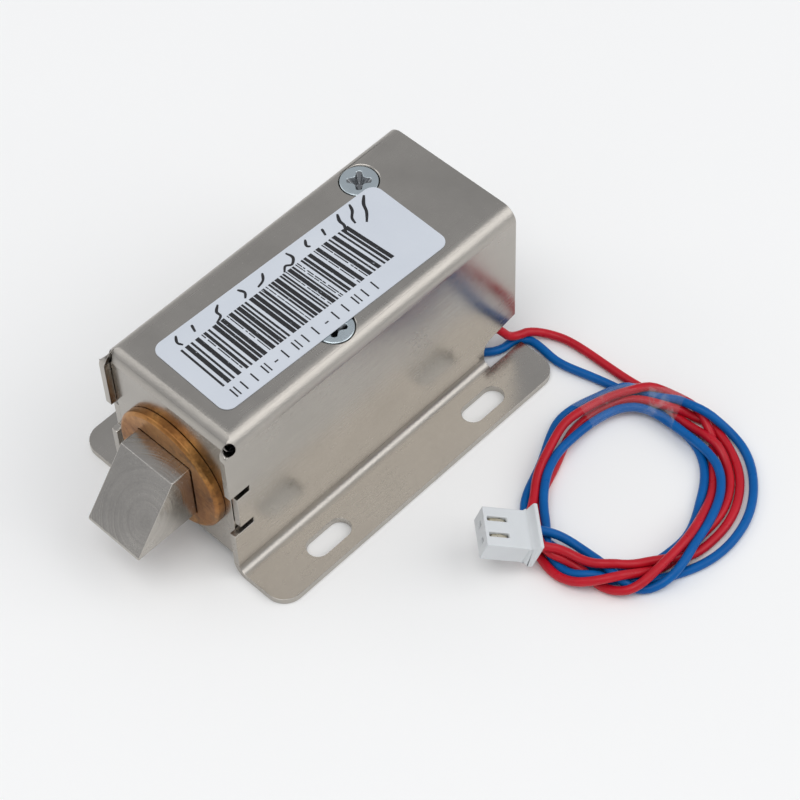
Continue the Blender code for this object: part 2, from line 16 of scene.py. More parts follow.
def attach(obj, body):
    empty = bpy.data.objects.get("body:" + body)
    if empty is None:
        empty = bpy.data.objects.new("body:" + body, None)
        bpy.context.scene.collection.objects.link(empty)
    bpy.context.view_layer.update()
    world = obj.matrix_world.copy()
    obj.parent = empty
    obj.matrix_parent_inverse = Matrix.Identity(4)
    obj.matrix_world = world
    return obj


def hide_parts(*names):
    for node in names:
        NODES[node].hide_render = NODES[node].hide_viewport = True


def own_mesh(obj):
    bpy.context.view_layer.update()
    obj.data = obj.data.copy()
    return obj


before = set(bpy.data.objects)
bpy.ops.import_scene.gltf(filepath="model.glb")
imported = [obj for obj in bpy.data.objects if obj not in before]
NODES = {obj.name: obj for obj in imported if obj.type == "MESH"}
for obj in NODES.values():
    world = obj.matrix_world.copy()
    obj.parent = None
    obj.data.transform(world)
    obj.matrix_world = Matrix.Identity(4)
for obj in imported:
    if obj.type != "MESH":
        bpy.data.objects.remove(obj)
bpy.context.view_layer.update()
SCENE = bpy.context.scene

MM = 0.001
SHIFT_Y = 5.385

# --- sizes, as in the CAD ------------------------------------------------------------------------------------------
T = 1.04
BODY_W, BODY_L, BODY_H = 23.45, 53.66, 27.73
FLANGE_W, FLANGE_CORNER_R = 40.1, 3.0
TOP_BEND_R, FOOT_BEND_R = 2.3, 1.12
SLOT_W, SLOT_L, SLOT_X, SLOT_Y = 3.25, 7.2, 16.5, 15.05
FLAP_SET_BACK, FLAP_BOTTOM_Z = 1.0, 1.95
RELIEF_R = 0.8
AXIS_Z = 13.15
RING_OUT_R, RING_BACK_R, RING_HOLE = 9.3, 7.95, 10.0
BOLT, BOLT_TIP_Y, BOLT_TOP_Y = 9.7, -37.6, -30.4
SPRING_WIRE, SPRING_R, SPRING_TURNS = 0.9, 5.2, 6.5
SCREWS = {"mounting_screw_rear": (-7.5, 16.65), "mounting_screw_front": (7.77, -3.38)}
SCREW_HEAD_R, SCREW_R = 2.6, 1.25
LABEL_W, LABEL_L, LABEL_T = 14.6, 39.4, 0.12
LABEL_AT, LABEL_TURN = (1.1, -2.5), math.radians(-1.8)
LEAD_R = 0.625
COIL_AT = (41.6, 19.6)
PLUG_AT = Vector((37.42, 1.19, 4.6))
PLUG_ALONG = Vector((-0.608, -0.721, 0.331)).normalized()
YOKE_T = 1.4

HALF_L = BODY_L / 2
WALL_OUT = BODY_W / 2
WALL_IN = WALL_OUT - T
TOP_IN = BODY_H - T
WEB_Z1 = TOP_IN - 0.3
FLAP_FACE = -HALF_L + FLAP_SET_BACK
# The lines where the flat top plate ends and its bends begin, and where the bends reach the walls.
BEND_X, BEND_Y, BEND_Z = WALL_OUT - TOP_BEND_R, FLAP_FACE + TOP_BEND_R, BODY_H - TOP_BEND_R
FLAP_HALF_W = BEND_X + TOP_BEND_R * math.sin(math.radians(30.0))
LIP_Z = 24.9


# --- camera --------------------------------------------------------------------------------------------------------
AZ, EL, ROLL = math.radians(46.1577), math.radians(52.9563), math.radians(-2.7569)
OFF_X, OFF_Y, DEPTH = -10.8434, 1.1004, 346.0338
LENS, SENSOR = 112.336, 36.0
FOCAL = LENS / SENSOR * 800

to_camera = Vector((math.sin(AZ) * math.cos(EL), -math.cos(AZ) * math.cos(EL), math.sin(EL)))
look = -to_camera
right = look.cross(Vector((0, 0, 1))).normalized()
down = look.cross(right)
ROT = Matrix.Rotation(ROLL, 3, "Z") @ Matrix((right, down, look))
OFFSET = Vector((OFF_X, OFF_Y, DEPTH))
EYE = -(ROT.transposed() @ OFFSET)


def seen_at(u, v, z):
    """The point at height z that the camera sees at (u, v) of an 800 by 800 picture."""
    d = ROT.transposed() @ Vector(((u - 400) / FOCAL, (v - 400) / FOCAL, 1.0))
    return EYE + d * ((z - EYE.z) / d.z)


camera = bpy.data.objects.new("camera", bpy.data.cameras.new("camera"))
SCENE.collection.objects.link(camera)
camera.data.lens, camera.data.sensor_width = LENS, SENSOR
camera.data.clip_start, camera.data.clip_end = 0.01, 20
pose = Matrix((ROT[0], -ROT[1], -ROT[2])).transposed().to_4x4()
pose.translation = Vector((EYE.x, EYE.y + SHIFT_Y, EYE.z)) * MM
camera.matrix_world = pose
SCENE.camera = camera


# --- mesh helpers --------------------------------------------------------------------------------------------------
def link(name, mesh):
    obj = bpy.data.objects.new(name, mesh)
    SCENE.collection.objects.link(obj)
    return obj


def shade(mesh, angle):
    mesh.polygons.foreach_set("use_smooth", [True] * len(mesh.polygons))
    mesh.set_sharp_from_angle(angle=math.radians(angle))


def piece(name, bm, mat=None, smooth=30):
    """An object of a bmesh in the lock's layout, placed in the row frame."""
    bmesh.ops.recalc_face_normals(bm, faces=bm.faces)
    bmesh.ops.transform(bm, matrix=Matrix.Scale(MM, 4) @ Matrix.Translation((0, SHIFT_Y, 0)), verts=bm.verts)
    mesh = bpy.data.meshes.new(name)
    bm.to_mesh(mesh)
    bm.free()
    if smooth:
        shade(mesh, smooth)
    if mat:
        mesh.materials.append(mat)
    return link(name, mesh)


def carve(obj, cuts=(), joins=()):
    """Cuts and joins bmeshes in the lock's layout, and leaves a plain mesh."""
    helpers = []
    for operation, group in (("UNION", joins), ("DIFFERENCE", cuts)):
        for i, bm in enumerate(group):
            other = piece(f"{obj.name}_{operation}_{i}", bm, smooth=30)
            helpers.append(other)
            m = obj.modifiers.new(other.name, "BOOLEAN")
            m.operation, m.solver, m.object = operation, "EXACT", other
    bake(obj)
    for other in helpers:
        mesh = other.data
        bpy.data.objects.remove(other)
        bpy.data.meshes.remove(mesh)
    return obj


def bake(obj):
    bpy.context.view_layer.update()
    graph = bpy.context.evaluated_depsgraph_get()
    mesh = bpy.data.meshes.new_from_object(obj.evaluated_get(graph), preserve_all_data_layers=True, depsgraph=graph)
    old = obj.data
    mats = list(old.materials) if hasattr(old, "materials") else []
    obj.modifiers.clear()
    obj.data = mesh
    if old.users == 0:
        bpy.data.meshes.remove(old)
    if not mesh.materials:
        for m in mats:
            mesh.materials.append(m)
    mesh.name = obj.name
    return obj


def soften(obj, width, segments=2, angle=35, smooth=40):
    """Small rounded edges, as pressed, turned or moulded edges have."""
    clean = bmesh.new()
    clean.from_mesh(obj.data)
    bmesh.ops.remove_doubles(clean, verts=clean.verts, dist=2e-6)
    bmesh.ops.dissolve_limit(clean, angle_limit=math.radians(0.4), verts=clean.verts, edges=clean.edges)
    clean.to_mesh(obj.data)
    clean.free()
    m = obj.modifiers.new("edges", "BEVEL")
    m.width, m.segments = width * MM, segments
    m.limit_method, m.angle_limit = "ANGLE", math.radians(angle)
    m.use_clamp_overlap = False
    bake(obj)
    shade(obj.data, smooth)
    n = obj.modifiers.new("normals", "WEIGHTED_NORMAL")
    n.keep_sharp = True
    n.weight = 80
    bake(obj)
    return obj


def prism(points, axis, low, high):
    bm = bmesh.new()

    def at(p, h):
        a, b = p
        return {"X": (h, a, b), "Y": (a, h, b), "Z": (a, b, h)}[axis]

    first = [bm.verts.new(at(p, low)) for p in points]
    last = [bm.verts.new(at(p, high)) for p in points]
    bm.faces.new(first)
    bm.faces.new(list(reversed(last)))
    n = len(points)
    for i in range(n):
        j = (i + 1) % n
        bm.faces.new((first[j], first[i], last[i], last[j]))
    return bm


def tapered(low_points, high_points, low, high):
    """Like a prism along Z, between two outlines of as many points."""
    bm = bmesh.new()
    first = [bm.verts.new((*p, low)) for p in low_points]
    last = [bm.verts.new((*p, high)) for p in high_points]
    bm.faces.new(first)
    bm.faces.new(list(reversed(last)))
    n = len(first)
    for i in range(n):
        j = (i + 1) % n
        bm.faces.new((first[j], first[i], last[i], last[j]))
    return bm


def box(x0, x1, y0, y1, z0, z1):
    return prism([(x0, y0), (x1, y0), (x1, y1), (x0, y1)], "Z", z0, z1)


def arc(cx, cy, r, a0, a1, n):
    return [
        (cx + r * math.cos(math.radians(a0 + (a1 - a0) * i / n)), cy + r * math.sin(math.radians(a0 + (a1 - a0) * i / n)))
        for i in range(n + 1)
    ]


def rounded(w, h, r, n, cx=0.0, cy=0.0):
    out = []
    for sx, sy, a in ((1, 1, 0), (-1, 1, 90), (-1, -1, 180), (1, -1, 270)):
        out += arc(cx + sx * (w / 2 - r), cy + sy * (h / 2 - r), r, a, a + 90, n)
    return out


def turned(profile, n, along="Y", at=(0.0, 0.0)):
    bm = bmesh.new()
    rows = []
    for s, r in profile:
        ring = []
        for i in range(1 if r == 0 else n):
            a = 2 * math.pi * i / n
            u, v = r * math.cos(a), r * math.sin(a)
            p = {"X": (s, at[0] + u, at[1] + v), "Y": (at[0] + u, s, at[1] + v), "Z": (at[0] + u, at[1] + v, s)}[along]
            ring.append(bm.verts.new(p))
        rows.append(ring)
    pairs = list(zip(rows, rows[1:]))
    if profile[0][1] and profile[-1][1]:
        pairs.append((rows[-1], rows[0]))
    for one, two in pairs:
        if len(one) == 1 and len(two) == 1:
            continue
        for i in range(n):
            j = (i + 1) % n
            if len(one) == 1:
                bm.faces.new((one[0], two[i], two[j]))
            elif len(two) == 1:
                bm.faces.new((one[i], one[j], two[0]))
            else:
                bm.faces.new((one[i], one[j], two[j], two[i]))
    return bm


# --- materials -----------------------------------------------------------------------------------------------------
class Nodes:
    """A few shorthands for building one material."""

    def __init__(self, name, colour, metallic, roughness, **sockets):
        self.mat = bpy.data.materials.new(name)
        self.mat.use_nodes = True
        self.tree = self.mat.node_tree
        self.bsdf = self.tree.nodes["Principled BSDF"]
        self.out = self.tree.nodes["Material Output"]
        self.bsdf.inputs["Base Color"].default_value = (*colour, 1)
        self.bsdf.inputs["Metallic"].default_value = metallic
        self.bsdf.inputs["Roughness"].default_value = roughness
        for key, value in sockets.items():
            self.bsdf.inputs[key.replace("_", " ")].default_value = value
        self.coords = self.tree.nodes.new("ShaderNodeTexCoord").outputs["Object"]

    def add(self, kind, **sockets):
        node = self.tree.nodes.new(kind)
        for key, value in sockets.items():
            if isinstance(value, bpy.types.NodeSocket):
                self.tree.links.new(value, node.inputs[key])
            else:
                node.inputs[key].default_value = value
        return node

    def link(self, a, b):
        self.tree.links.new(a, b)

    def scaled(self, x, y, z, turn=(0, 0, 0)):
        m = self.add("ShaderNodeMapping", Vector=self.coords, Scale=(x, y, z), Rotation=turn)
        return m.outputs["Vector"]

    def noise(self, scale, detail=4, rough=0.55, vector=None, distortion=0.0):
        n = self.add("ShaderNodeTexNoise", Vector=vector or self.coords, Scale=scale, Detail=detail, Roughness=rough, Distortion=distortion)
        return n.outputs["Fac"]

    def voronoi(self, scale, vector=None, feature="F1"):
        n = self.add("ShaderNodeTexVoronoi", Vector=vector or self.coords, Scale=scale)
        n.feature = feature
        return n.outputs["Distance"]

    def away(self, point):
        """Distance from a point of the lock's layout, in metres."""
        n = self.tree.nodes.new("ShaderNodeVectorMath")
        n.operation = "DISTANCE"
        self.tree.links.new(self.coords, n.inputs[0])
        n.inputs[1].default_value = (point[0] * MM, (point[1] + SHIFT_Y) * MM, point[2] * MM)
        return n.outputs["Value"]

    def ramp(self, fac, stops, smooth=False):
        r = self.add("ShaderNodeValToRGB", Fac=fac)
        if smooth:
            r.color_ramp.interpolation = "EASE"
        ramp = r.color_ramp
        while len(ramp.elements) > len(stops):
            ramp.elements.remove(ramp.elements[-1])
        while len(ramp.elements) < len(stops):
            ramp.elements.new(0.5)
        for e, (p, c) in zip(ramp.elements, stops):
            e.position = p
            e.color = (*c, 1) if hasattr(c, "__len__") else (c, c, c, 1)
        return r.outputs["Color"]

    def span(self, value, a, b, c, d):
        n = self.add("ShaderNodeMapRange", Value=value)
        n.inputs["From Min"].default_value, n.inputs["From Max"].default_value = a, b
        n.inputs["To Min"].default_value, n.inputs["To Max"].default_value = c, d
        return n.outputs["Result"]

    def mix(self, fac, a, b, mode="MIX"):
        m = self.tree.nodes.new("ShaderNodeMix")
        m.data_type, m.blend_type = "RGBA", mode
        for key, value in ((0, fac), (6, a), (7, b)):
            if isinstance(value, bpy.types.NodeSocket):
                self.tree.links.new(value, m.inputs[key])
            elif key == 0:
                m.inputs[0].default_value = value
            else:
                m.inputs[key].default_value = (*value, 1)
        return m.outputs[2]

    def math(self, op, a, b=0.0):
        m = self.tree.nodes.new("ShaderNodeMath")
        m.operation = op
        for i, value in enumerate((a, b)):
            if isinstance(value, bpy.types.NodeSocket):
                self.tree.links.new(value, m.inputs[i])
            else:
                m.inputs[i].default_value = value
        return m.outputs[0]

    def bump(self, height, strength, distance, normal=None):
        b = self.add("ShaderNodeBump", Height=height, Strength=strength, Distance=distance)
        if normal:
            self.link(normal, b.inputs["Normal"])
        return b.outputs["Normal"]


def on_bends(m):
    """1 on the sheet's bends, where the drawn-out surface is rougher, and 0 on its flat faces."""
    at = m.add("ShaderNodeSeparateXYZ", Vector=m.coords).outputs
    across_x = m.math("ABSOLUTE", at["X"])
    side = m.span(across_x, BEND_X * MM, (BEND_X + 0.7) * MM, 0.0, 1.0)
    front = m.span(at["Y"], (BEND_Y + SHIFT_Y) * MM, (BEND_Y + SHIFT_Y - 0.7) * MM, 0.0, 1.0)
    high = m.span(at["Z"], BEND_Z * MM, (BEND_Z + 0.7) * MM, 0.0, 1.0)
    foot = m.math("MULTIPLY", m.span(at["Z"], 2.6 * MM, 1.9 * MM, 0.0, 1.0), m.span(across_x, 13.3 * MM, 12.6 * MM, 0.0, 1.0))
    return m.math("MAXIMUM", m.math("MULTIPLY", m.math("MAXIMUM", side, front), high), foot)


def plated(name, colour, rough, grain=1.0, spots=0.5, dents=(), arcs_from=None, bent=False):
    """Bright plating on rolled sheet: soft mottling, fine grain, small pits and rubbed places."""
    m = Nodes(name, colour, 1.0, rough)
    cloudy = m.noise(90, 4, 0.6)
    fine = m.noise(2600, 3, 0.65)
    streaks = m.noise(260, 3, 0.65, m.scaled(14, 0.7, 14))
    pits = m.voronoi(700)
    tone = m.ramp(cloudy, [(0.3, [c * 0.92 for c in colour]), (0.7, [min(1, c * 1.06) for c in colour])])
    dull = m.ramp(m.noise(420, 5, 0.7), [(0.56, 0.0), (0.75, 1.0)])
    tone = m.mix(m.math("MULTIPLY", dull, 0.18 * spots), tone, [c * 0.66 for c in colour])
    speck = m.ramp(pits, [(0.03, 1.0), (0.09, 0.0)])
    tone = m.mix(m.math("MULTIPLY", speck, 0.5 * spots), tone, [min(1, c * 1.7) for c in colour])
    r = m.math("ADD", m.span(cloudy, 0.3, 0.7, rough - 0.05, rough + 0.06), m.span(streaks, 0.3, 0.7, -0.03, 0.04))
    r = m.math("ADD", r, m.span(fine, 0.3, 0.7, -0.03, 0.03))
    n = m.bump(streaks, 0.08 * grain, 0.00006)
    n = m.bump(fine, 0.2 * grain, 0.000015, n)
    if bent:
        mask = on_bends(m)
        r = m.math("ADD", r, m.math("MULTIPLY", mask, 0.13))
        n = m.bump(m.math("MULTIPLY", m.noise(3400, 3, 0.7), mask), 0.7, 0.00005, n)
    m.link(r, m.bsdf.inputs["Roughness"])
    n = m.bump(m.span(pits, 0.0, 0.12, 0.0, 1.0), 0.15 * grain, 0.00002, n)
    for at, wide, deep in dents:
        d = m.away(at)
        n = m.bump(m.ramp(m.span(d, 0.0, wide * MM, 0.0, 1.0), [(0.0, 0.0), (0.45, 0.35), (1.0, 1.0)], smooth=True), 0.5, deep * MM, n)
        # The dent's middle is darkened: painted shade in the hollow.
        tone = m.mix(m.math("MULTIPLY", m.span(d, 0.0, 0.4 * MM, 1.0, 0.0), 0.5), tone, [c * 0.35 for c in colour])
    if arcs_from:
        d = m.away(arcs_from)
        cut = m.noise(1500, 2, 0.5, m.add("ShaderNodeCombineXYZ", X=d).outputs["Vector"])
        n = m.bump(cut, 0.5, 0.00008, n)
        tone = m.mix(m.ramp(cut, [(0.42, 0.0), (0.6, 0.14)]), tone, [c * 0.5 for c in colour])
    m.link(tone, m.bsdf.inputs["Base Color"])
    m.link(n, m.bsdf.inputs["Normal"])
    return m.mat


NICKEL = plated("nickel_plate", (0.45, 0.423, 0.385), 0.22, dents=[((WALL_OUT, 13.4, 9.7), 1.0, 0.035), ((WALL_OUT, -16.6, 10.4), 0.9, 0.03)], bent=True)
# A dark copy of the plating: painted shade for the crevice inside the left wall's lip.
NICKEL_PAINTED_SHADE = plated("nickel_painted_shade", (0.09, 0.08, 0.07), 0.3)
NICKEL_BOLT = plated("nickel_bolt", (0.46, 0.435, 0.40), 0.2, 0.7, arcs_from=(3.5, -36.5, 14.0))
ZINC = plated("blue_zinc", (0.58, 0.65, 0.68), 0.24, 1.2)
# A dark copy of the zinc: painted shade for the inside of the screws' cross recesses.
ZINC_PAINTED_SHADE = plated("zinc_painted_shade", (0.26, 0.27, 0.28), 0.16, 0.5)
STEEL = plated("plain_steel", (0.5, 0.5, 0.5), 0.33)
IRON = plated("plated_iron", (0.5, 0.5, 0.51), 0.3)


def bronze():
    m = Nodes("sintered_bronze", (0.36, 0.19, 0.08), 0.9, 0.42)
    cloud = m.noise(170, 5, 0.65)
    grain = m.noise(1900, 3, 0.6)
    rings = m.noise(500, 3, 0.6, m.scaled(1, 6, 1))
    base = m.ramp(cloud, [(0.34, (0.21, 0.085, 0.028)), (0.5, (0.37, 0.165, 0.048)), (0.66, (0.5, 0.25, 0.075))])
    stain = m.ramp(m.noise(330, 5, 0.7), [(0.5, 0.0), (0.64, 1.0)])
    base = m.mix(m.math("MULTIPLY", stain, 0.6), base, (0.08, 0.036, 0.016))
    base = m.mix(m.math("MULTIPLY", m.ramp(grain, [(0.6, 0.0), (0.72, 1.0)]), 0.5), base, (0.06, 0.03, 0.016))
    m.link(base, m.bsdf.inputs["Base Color"])
    m.link(m.span(cloud, 0.3, 0.7, 0.5, 0.32), m.bsdf.inputs["Roughness"])
    n = m.bump(rings, 0.2, 0.00006)
    n = m.bump(grain, 0.35, 0.00004, n)
    m.link(n, m.bsdf.inputs["Normal"])
    return m.mat


def pvc(name, colour, dark, shine=0.3):
    m = Nodes(name, colour, 0.0, 0.34, Specular_IOR_Level=shine)
    tone = m.mix(m.span(m.noise(220, 3), 0.3, 0.7, 0.0, 1.0), dark, colour)
    m.link(tone, m.bsdf.inputs["Base Color"])
    m.link(m.span(m.noise(700, 3), 0.3, 0.7, 0.26, 0.42), m.bsdf.inputs["Roughness"])
    m.link(m.bump(m.noise(900, 3, 0.6), 0.12, 0.00005), m.bsdf.inputs["Normal"])
    m.bsdf.inputs["Subsurface Weight"].default_value = 0.06
    m.bsdf.inputs["Subsurface Radius"].default_value = (0.0004, 0.0003, 0.0003)
    return m.mat


RED = pvc("red_pvc", (0.55, 0.008, 0.022), (0.45, 0.006, 0.016))
BLUE = pvc("blue_pvc", (0.0, 0.12, 0.4), (0.0, 0.092, 0.33), 0.2)


def moulded(name, colour, rough=0.42, sss=0.15):
    m = Nodes(name, colour, 0.0, rough)
    m.link(m.mix(m.span(m.noise(180, 3), 0.3, 0.7, 0, 1), [c * 0.95 for c in colour], colour), m.bsdf.inputs["Base Color"])
    m.link(m.span(m.noise(500, 4), 0.3, 0.7, rough - 0.06, rough + 0.08), m.bsdf.inputs["Roughness"])
    m.link(m.bump(m.noise(1600, 3), 0.08, 0.00004), m.bsdf.inputs["Normal"])
    m.bsdf.inputs["Subsurface Weight"].default_value = sss
    m.bsdf.inputs["Subsurface Radius"].default_value = (0.001, 0.001, 0.001)
    return m.mat


WHITE = moulded("plug_nylon", (0.70, 0.72, 0.73))
NYLON = moulded("bobbin_nylon", (0.78, 0.75, 0.66))


def paper():
    m = Nodes("label_stock", (0.62, 0.65, 0.70), 0.0, 0.45)
    m.link(m.mix(m.span(m.noise(120, 4), 0.3, 0.7, 0, 1), (0.60, 0.635, 0.69), (0.635, 0.67, 0.72)), m.bsdf.inputs["Base Color"])
    m.link(m.span(m.noise(600, 4), 0.3, 0.7, 0.38, 0.55), m.bsdf.inputs["Roughness"])
    m.link(m.bump(m.noise(1300, 3), 0.06, 0.00003), m.bsdf.inputs["Normal"])
    return m.mat


def ink(name, worn):
    m = Nodes(name, (0.012, 0.012, 0.014), 0.0, 0.5)
    voids = m.noise(2400, 3, 0.6, m.scaled(0.45, 1.5, 1))
    m.link(m.mix(m.ramp(voids, [(worn, 0.0), (worn + 0.05, 1.0)]), (0.011, 0.011, 0.013), (0.5, 0.53, 0.58)), m.bsdf.inputs["Base Color"])
    m.link(m.span(m.noise(900, 3), 0.3, 0.7, 0.4, 0.6), m.bsdf.inputs["Roughness"])
    return m.mat


PAPER, INK, PEN = paper(), ink("black_ink", 0.67), ink("pen_ink", 0.9)


def copper():
    m = Nodes("enamelled_copper", (0.40, 0.13, 0.05), 1.0, 0.3)
    wires = m.add("ShaderNodeTexWave", Vector=m.coords, Scale=2200.0, Distortion=0.6)
    wires.wave_type, wires.bands_direction = "BANDS", "Y"
    m.link(m.ramp(wires.outputs["Fac"], [(0.1, (0.12, 0.035, 0.015)), (0.8, (0.5, 0.18, 0.07))]), m.bsdf.inputs["Base Color"])
    m.link(m.span(m.noise(600, 3), 0.3, 0.7, 0.22, 0.4), m.bsdf.inputs["Roughness"])
    m.link(m.bump(wires.outputs["Fac"], 0.6, 0.0001), m.bsdf.inputs["Normal"])
    return m.mat


def film(name, colour):
    m = Nodes(name, colour, 0.0, 0.28)
    m.link(m.mix(m.span(m.noise(90, 4), 0.3, 0.7, 0, 1), [c * 0.85 for c in colour], colour), m.bsdf.inputs["Base Color"])
    m.link(m.span(m.noise(400, 3), 0.3, 0.7, 0.2, 0.36), m.bsdf.inputs["Roughness"])
    m.link(m.bump(m.noise(220, 5, 0.6), 0.25, 0.0001), m.bsdf.inputs["Normal"])
    return m.mat


def tin():
    m = Nodes("tinned_brass", (0.72, 0.66, 0.50), 1.0, 0.3)
    m.link(m.ramp(m.noise(700, 4), [(0.3, (0.62, 0.55, 0.40)), (0.7, (0.80, 0.75, 0.62))]), m.bsdf.inputs["Base Color"])
    m.link(m.span(m.noise(900, 3), 0.3, 0.7, 0.22, 0.42), m.bsdf.inputs["Roughness"])
    m.link(m.bump(m.noise(2000, 3), 0.1, 0.00003), m.bsdf.inputs["Normal"])
    return m.mat


def clear():
    m = Nodes("clear_tape", (0.93, 0.95, 0.96), 0.0, 0.1)
    wrinkle = m.noise(300, 4, 0.6, distortion=0.8)
    m.link(m.span(m.noise(500, 4), 0.3, 0.7, 0.06, 0.2), m.bsdf.inputs["Roughness"])
    m.link(m.bump(wrinkle, 0.6, 0.0003), m.bsdf.inputs["Normal"])
    # The white film shows more at grazing view and along creases: painted sheen and painted glints.
    edge = m.add("ShaderNodeLayerWeight", Blend=0.3).outputs["Facing"]
    crease_glint = m.ramp(wrinkle, [(0.55, 0.0), (0.64, 1.0)])
    alpha = m.math("ADD", m.span(edge, 0.0, 1.0, 0.035, 0.17), m.math("MULTIPLY", crease_glint, 0.1))
    m.link(alpha, m.bsdf.inputs["Alpha"])
    return m.mat


BRONZE, COPPER, TIN, CLEAR = bronze(), copper(), tin(), clear()
FILM = film("winding_tape", (0.62, 0.43, 0.07))


def shown(obj, body, slot, *nodes):
    """obj moves with a CAD body and stands for CAD nodes, which it hides; slot is not used."""
    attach(obj, body)
    if nodes:
        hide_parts(*nodes)
    return obj


# --- housing: one sheet, folded --------------------------------------------------------------------------------------
def channel_outline(n):
    """The folded sheet's section, x and z: flange, foot bend, wall, top bend, half of the top plate, and its mirror."""
    foot_x = WALL_OUT + FOOT_BEND_R
    outer = [(FLANGE_W / 2, 0.0), (FLANGE_W / 2, T)]
    outer += list(reversed(arc(foot_x, T + FOOT_BEND_R, FOOT_BEND_R, 180, 270, n)))
    outer += arc(WALL_OUT - TOP_BEND_R, BODY_H - TOP_BEND_R, TOP_BEND_R, 0, 90, n)
    inner_r = TOP_BEND_R - T
    inner = list(reversed(arc(WALL_IN - inner_r, TOP_IN - inner_r, inner_r, 0, 90, 5)))
    inner += arc(foot_x, T + FOOT_BEND_R, FOOT_BEND_R + T, 180, 270, n)
    return outer + [(-x, z) for x, z in reversed(outer)] + [(-x, z) for x, z in reversed(inner)] + inner


def flap_outline(n):
    """Top plate's front end, its bend and the front flap, y and z."""
    front, r = FLAP_FACE, TOP_BEND_R
    out = [(front + r + 5.0, TOP_IN), (front + r + 5.0, BODY_H)]
    out += arc(front + r, BODY_H - r, r, 90, 180, n)
    out += [(front, FLAP_BOTTOM_Z), (front + T, FLAP_BOTTOM_Z)]
    out += list(reversed(arc(front + r, BODY_H - r, r - T, 90, 180, 5)))
    return out


sheet = piece("housing_sheet", prism(channel_outline(12), "Y", -HALF_L, HALF_L), NICKEL)
# The side bends run out at the front in a curve down to the walls' lips, beside the flap's bend.
over_front = [
    (BEND_Y + (BEND_Y + HALF_L) * math.cos(math.radians(90 + 7.5 * i)), LIP_Z + (BODY_H - LIP_Z) * math.sin(math.radians(90 + 7.5 * i)))
    for i in range(13)
]
over_front += [(-HALF_L - 2, LIP_Z), (-HALF_L - 2, BODY_H + 1), (BEND_Y, BODY_H + 1)]
carve(
    sheet,
    cuts=[
        box(-FLAP_HALF_W, FLAP_HALF_W, -HALF_L - 2, BEND_Y + 1.0, -2, BODY_H + 2),
        prism(over_front, "X", -15, 15),
    ],
)
flap = piece("flap", prism(flap_outline(12), "X", -FLAP_HALF_W, FLAP_HALF_W), NICKEL)
over_side = arc(BEND_X, BEND_Z, TOP_BEND_R, 90, 0, 12) + [(WALL_OUT + 1, BEND_Z), (WALL_OUT + 1, BODY_H + 1), (BEND_X, BODY_H + 1)]
carve(flap, cuts=[prism([(side * x, z) for x, z in over_side], "Y", FLAP_FACE - 1, BEND_Y + 6) for side in (1, -1)])
cuts = []
for side in (1, -1):
    # The relief hole's rim is drawn out a little.
    bm = turned([(-2.5, 0.0), (-2.5, RELIEF_R), (-0.25, RELIEF_R), (0.1, RELIEF_R + 0.12), (0.35, RELIEF_R + 0.4), (3.0, RELIEF_R + 0.4), (3.0, 0.0)], 40, "Z")
    turn = Vector((side * 0.65, -0.45, 0.61)).normalized().to_track_quat("Z", "Y").to_matrix().to_4x4()
    bmesh.ops.transform(bm, matrix=Matrix.Translation((side * 11.35, FLAP_FACE + 0.33, BEND_Z + 1.02)) @ turn, verts=bm.verts)
    cuts.append(bm)
    x0, x1 = sorted((side * (WALL_IN - 0.08), side * (WALL_OUT + 1.0)))
    cuts.append(box(x0, x1, -HALF_L - 1, -HALF_L + 1.1, 10.05 if side > 0 else 11.3, 17.2))
    cuts.append(box(x0 + 0.05, x1 - 0.05, -HALF_L - 1, -HALF_L + 3.4, 16.1, 17.25))
    for end in (-1, 1):
        cx, cy, r = side * (FLANGE_W / 2 - FLANGE_CORNER_R), end * (HALF_L - FLANGE_CORNER_R), FLANGE_CORNER_R
        outline = [(cx + side * r * math.cos(a), cy + end * r * math.sin(a)) for a in [math.radians(7.5 * i) for i in range(13)]]
        outline = [(cx + side * (r + 1), cy), (cx + side * (r + 1), cy + end * (r + 1)), (cx, cy + end * (r + 1))] + list(reversed(outline))
        cuts.append(prism(outline, "Z", -1, T + 1))
        outline = arc(side * SLOT_X, end * SLOT_Y + (SLOT_L - SLOT_W) / 2, SLOT_W / 2, 0, 180, 16)
        outline += arc(side * SLOT_X, end * SLOT_Y - (SLOT_L - SLOT_W) / 2, SLOT_W / 2, 180, 360, 16)
        cuts.append(prism(outline, "Z", -1, T + 1))
cuts.append(box(WALL_IN - 0.03, WALL_OUT + 1, -HALF_L - 1, -HALF_L + 3.4, 9.0, 10.1))
lead_cut = [(20.5, -1.0), (20.5, 3.6), (20.85, 4.6), (21.7, 5.1), (HALF_L + 1, 6.3), (HALF_L + 1, -1.0)]
cuts.append(prism(lead_cut, "X", WALL_IN - 3, 12.87))
cuts.append(turned([(-HALF_L - 2, 0), (-HALF_L - 2, RING_BACK_R + 0.15), (-HALF_L + 4, RING_BACK_R + 0.15), (-HALF_L + 4, 0)], 64, "Y", (0, AXIS_Z)))
for x, y in SCREWS.values():
    r = SCREW_HEAD_R + 0.13
    cuts.append(turned([(TOP_IN - 1, 0), (TOP_IN - 1, 1.6), (TOP_IN + 0.05, 1.65), (BODY_H - 0.45, r), (BODY_H - 0.25, r), (BODY_H + 0.1, r + 0.28), (BODY_H + 1, r + 0.28), (BODY_H + 1, 0)], 48, "Z", (x, y)))
joined = sheet.modifiers.new("flap", "BOOLEAN")
joined.operation, joined.solver, joined.object = "UNION", "EXACT", flap
bake(sheet)
flap_mesh = flap.data
bpy.data.objects.remove(flap)
bpy.data.meshes.remove(flap_mesh)
carve(sheet, cuts=cuts)
soften(sheet, 0.1)
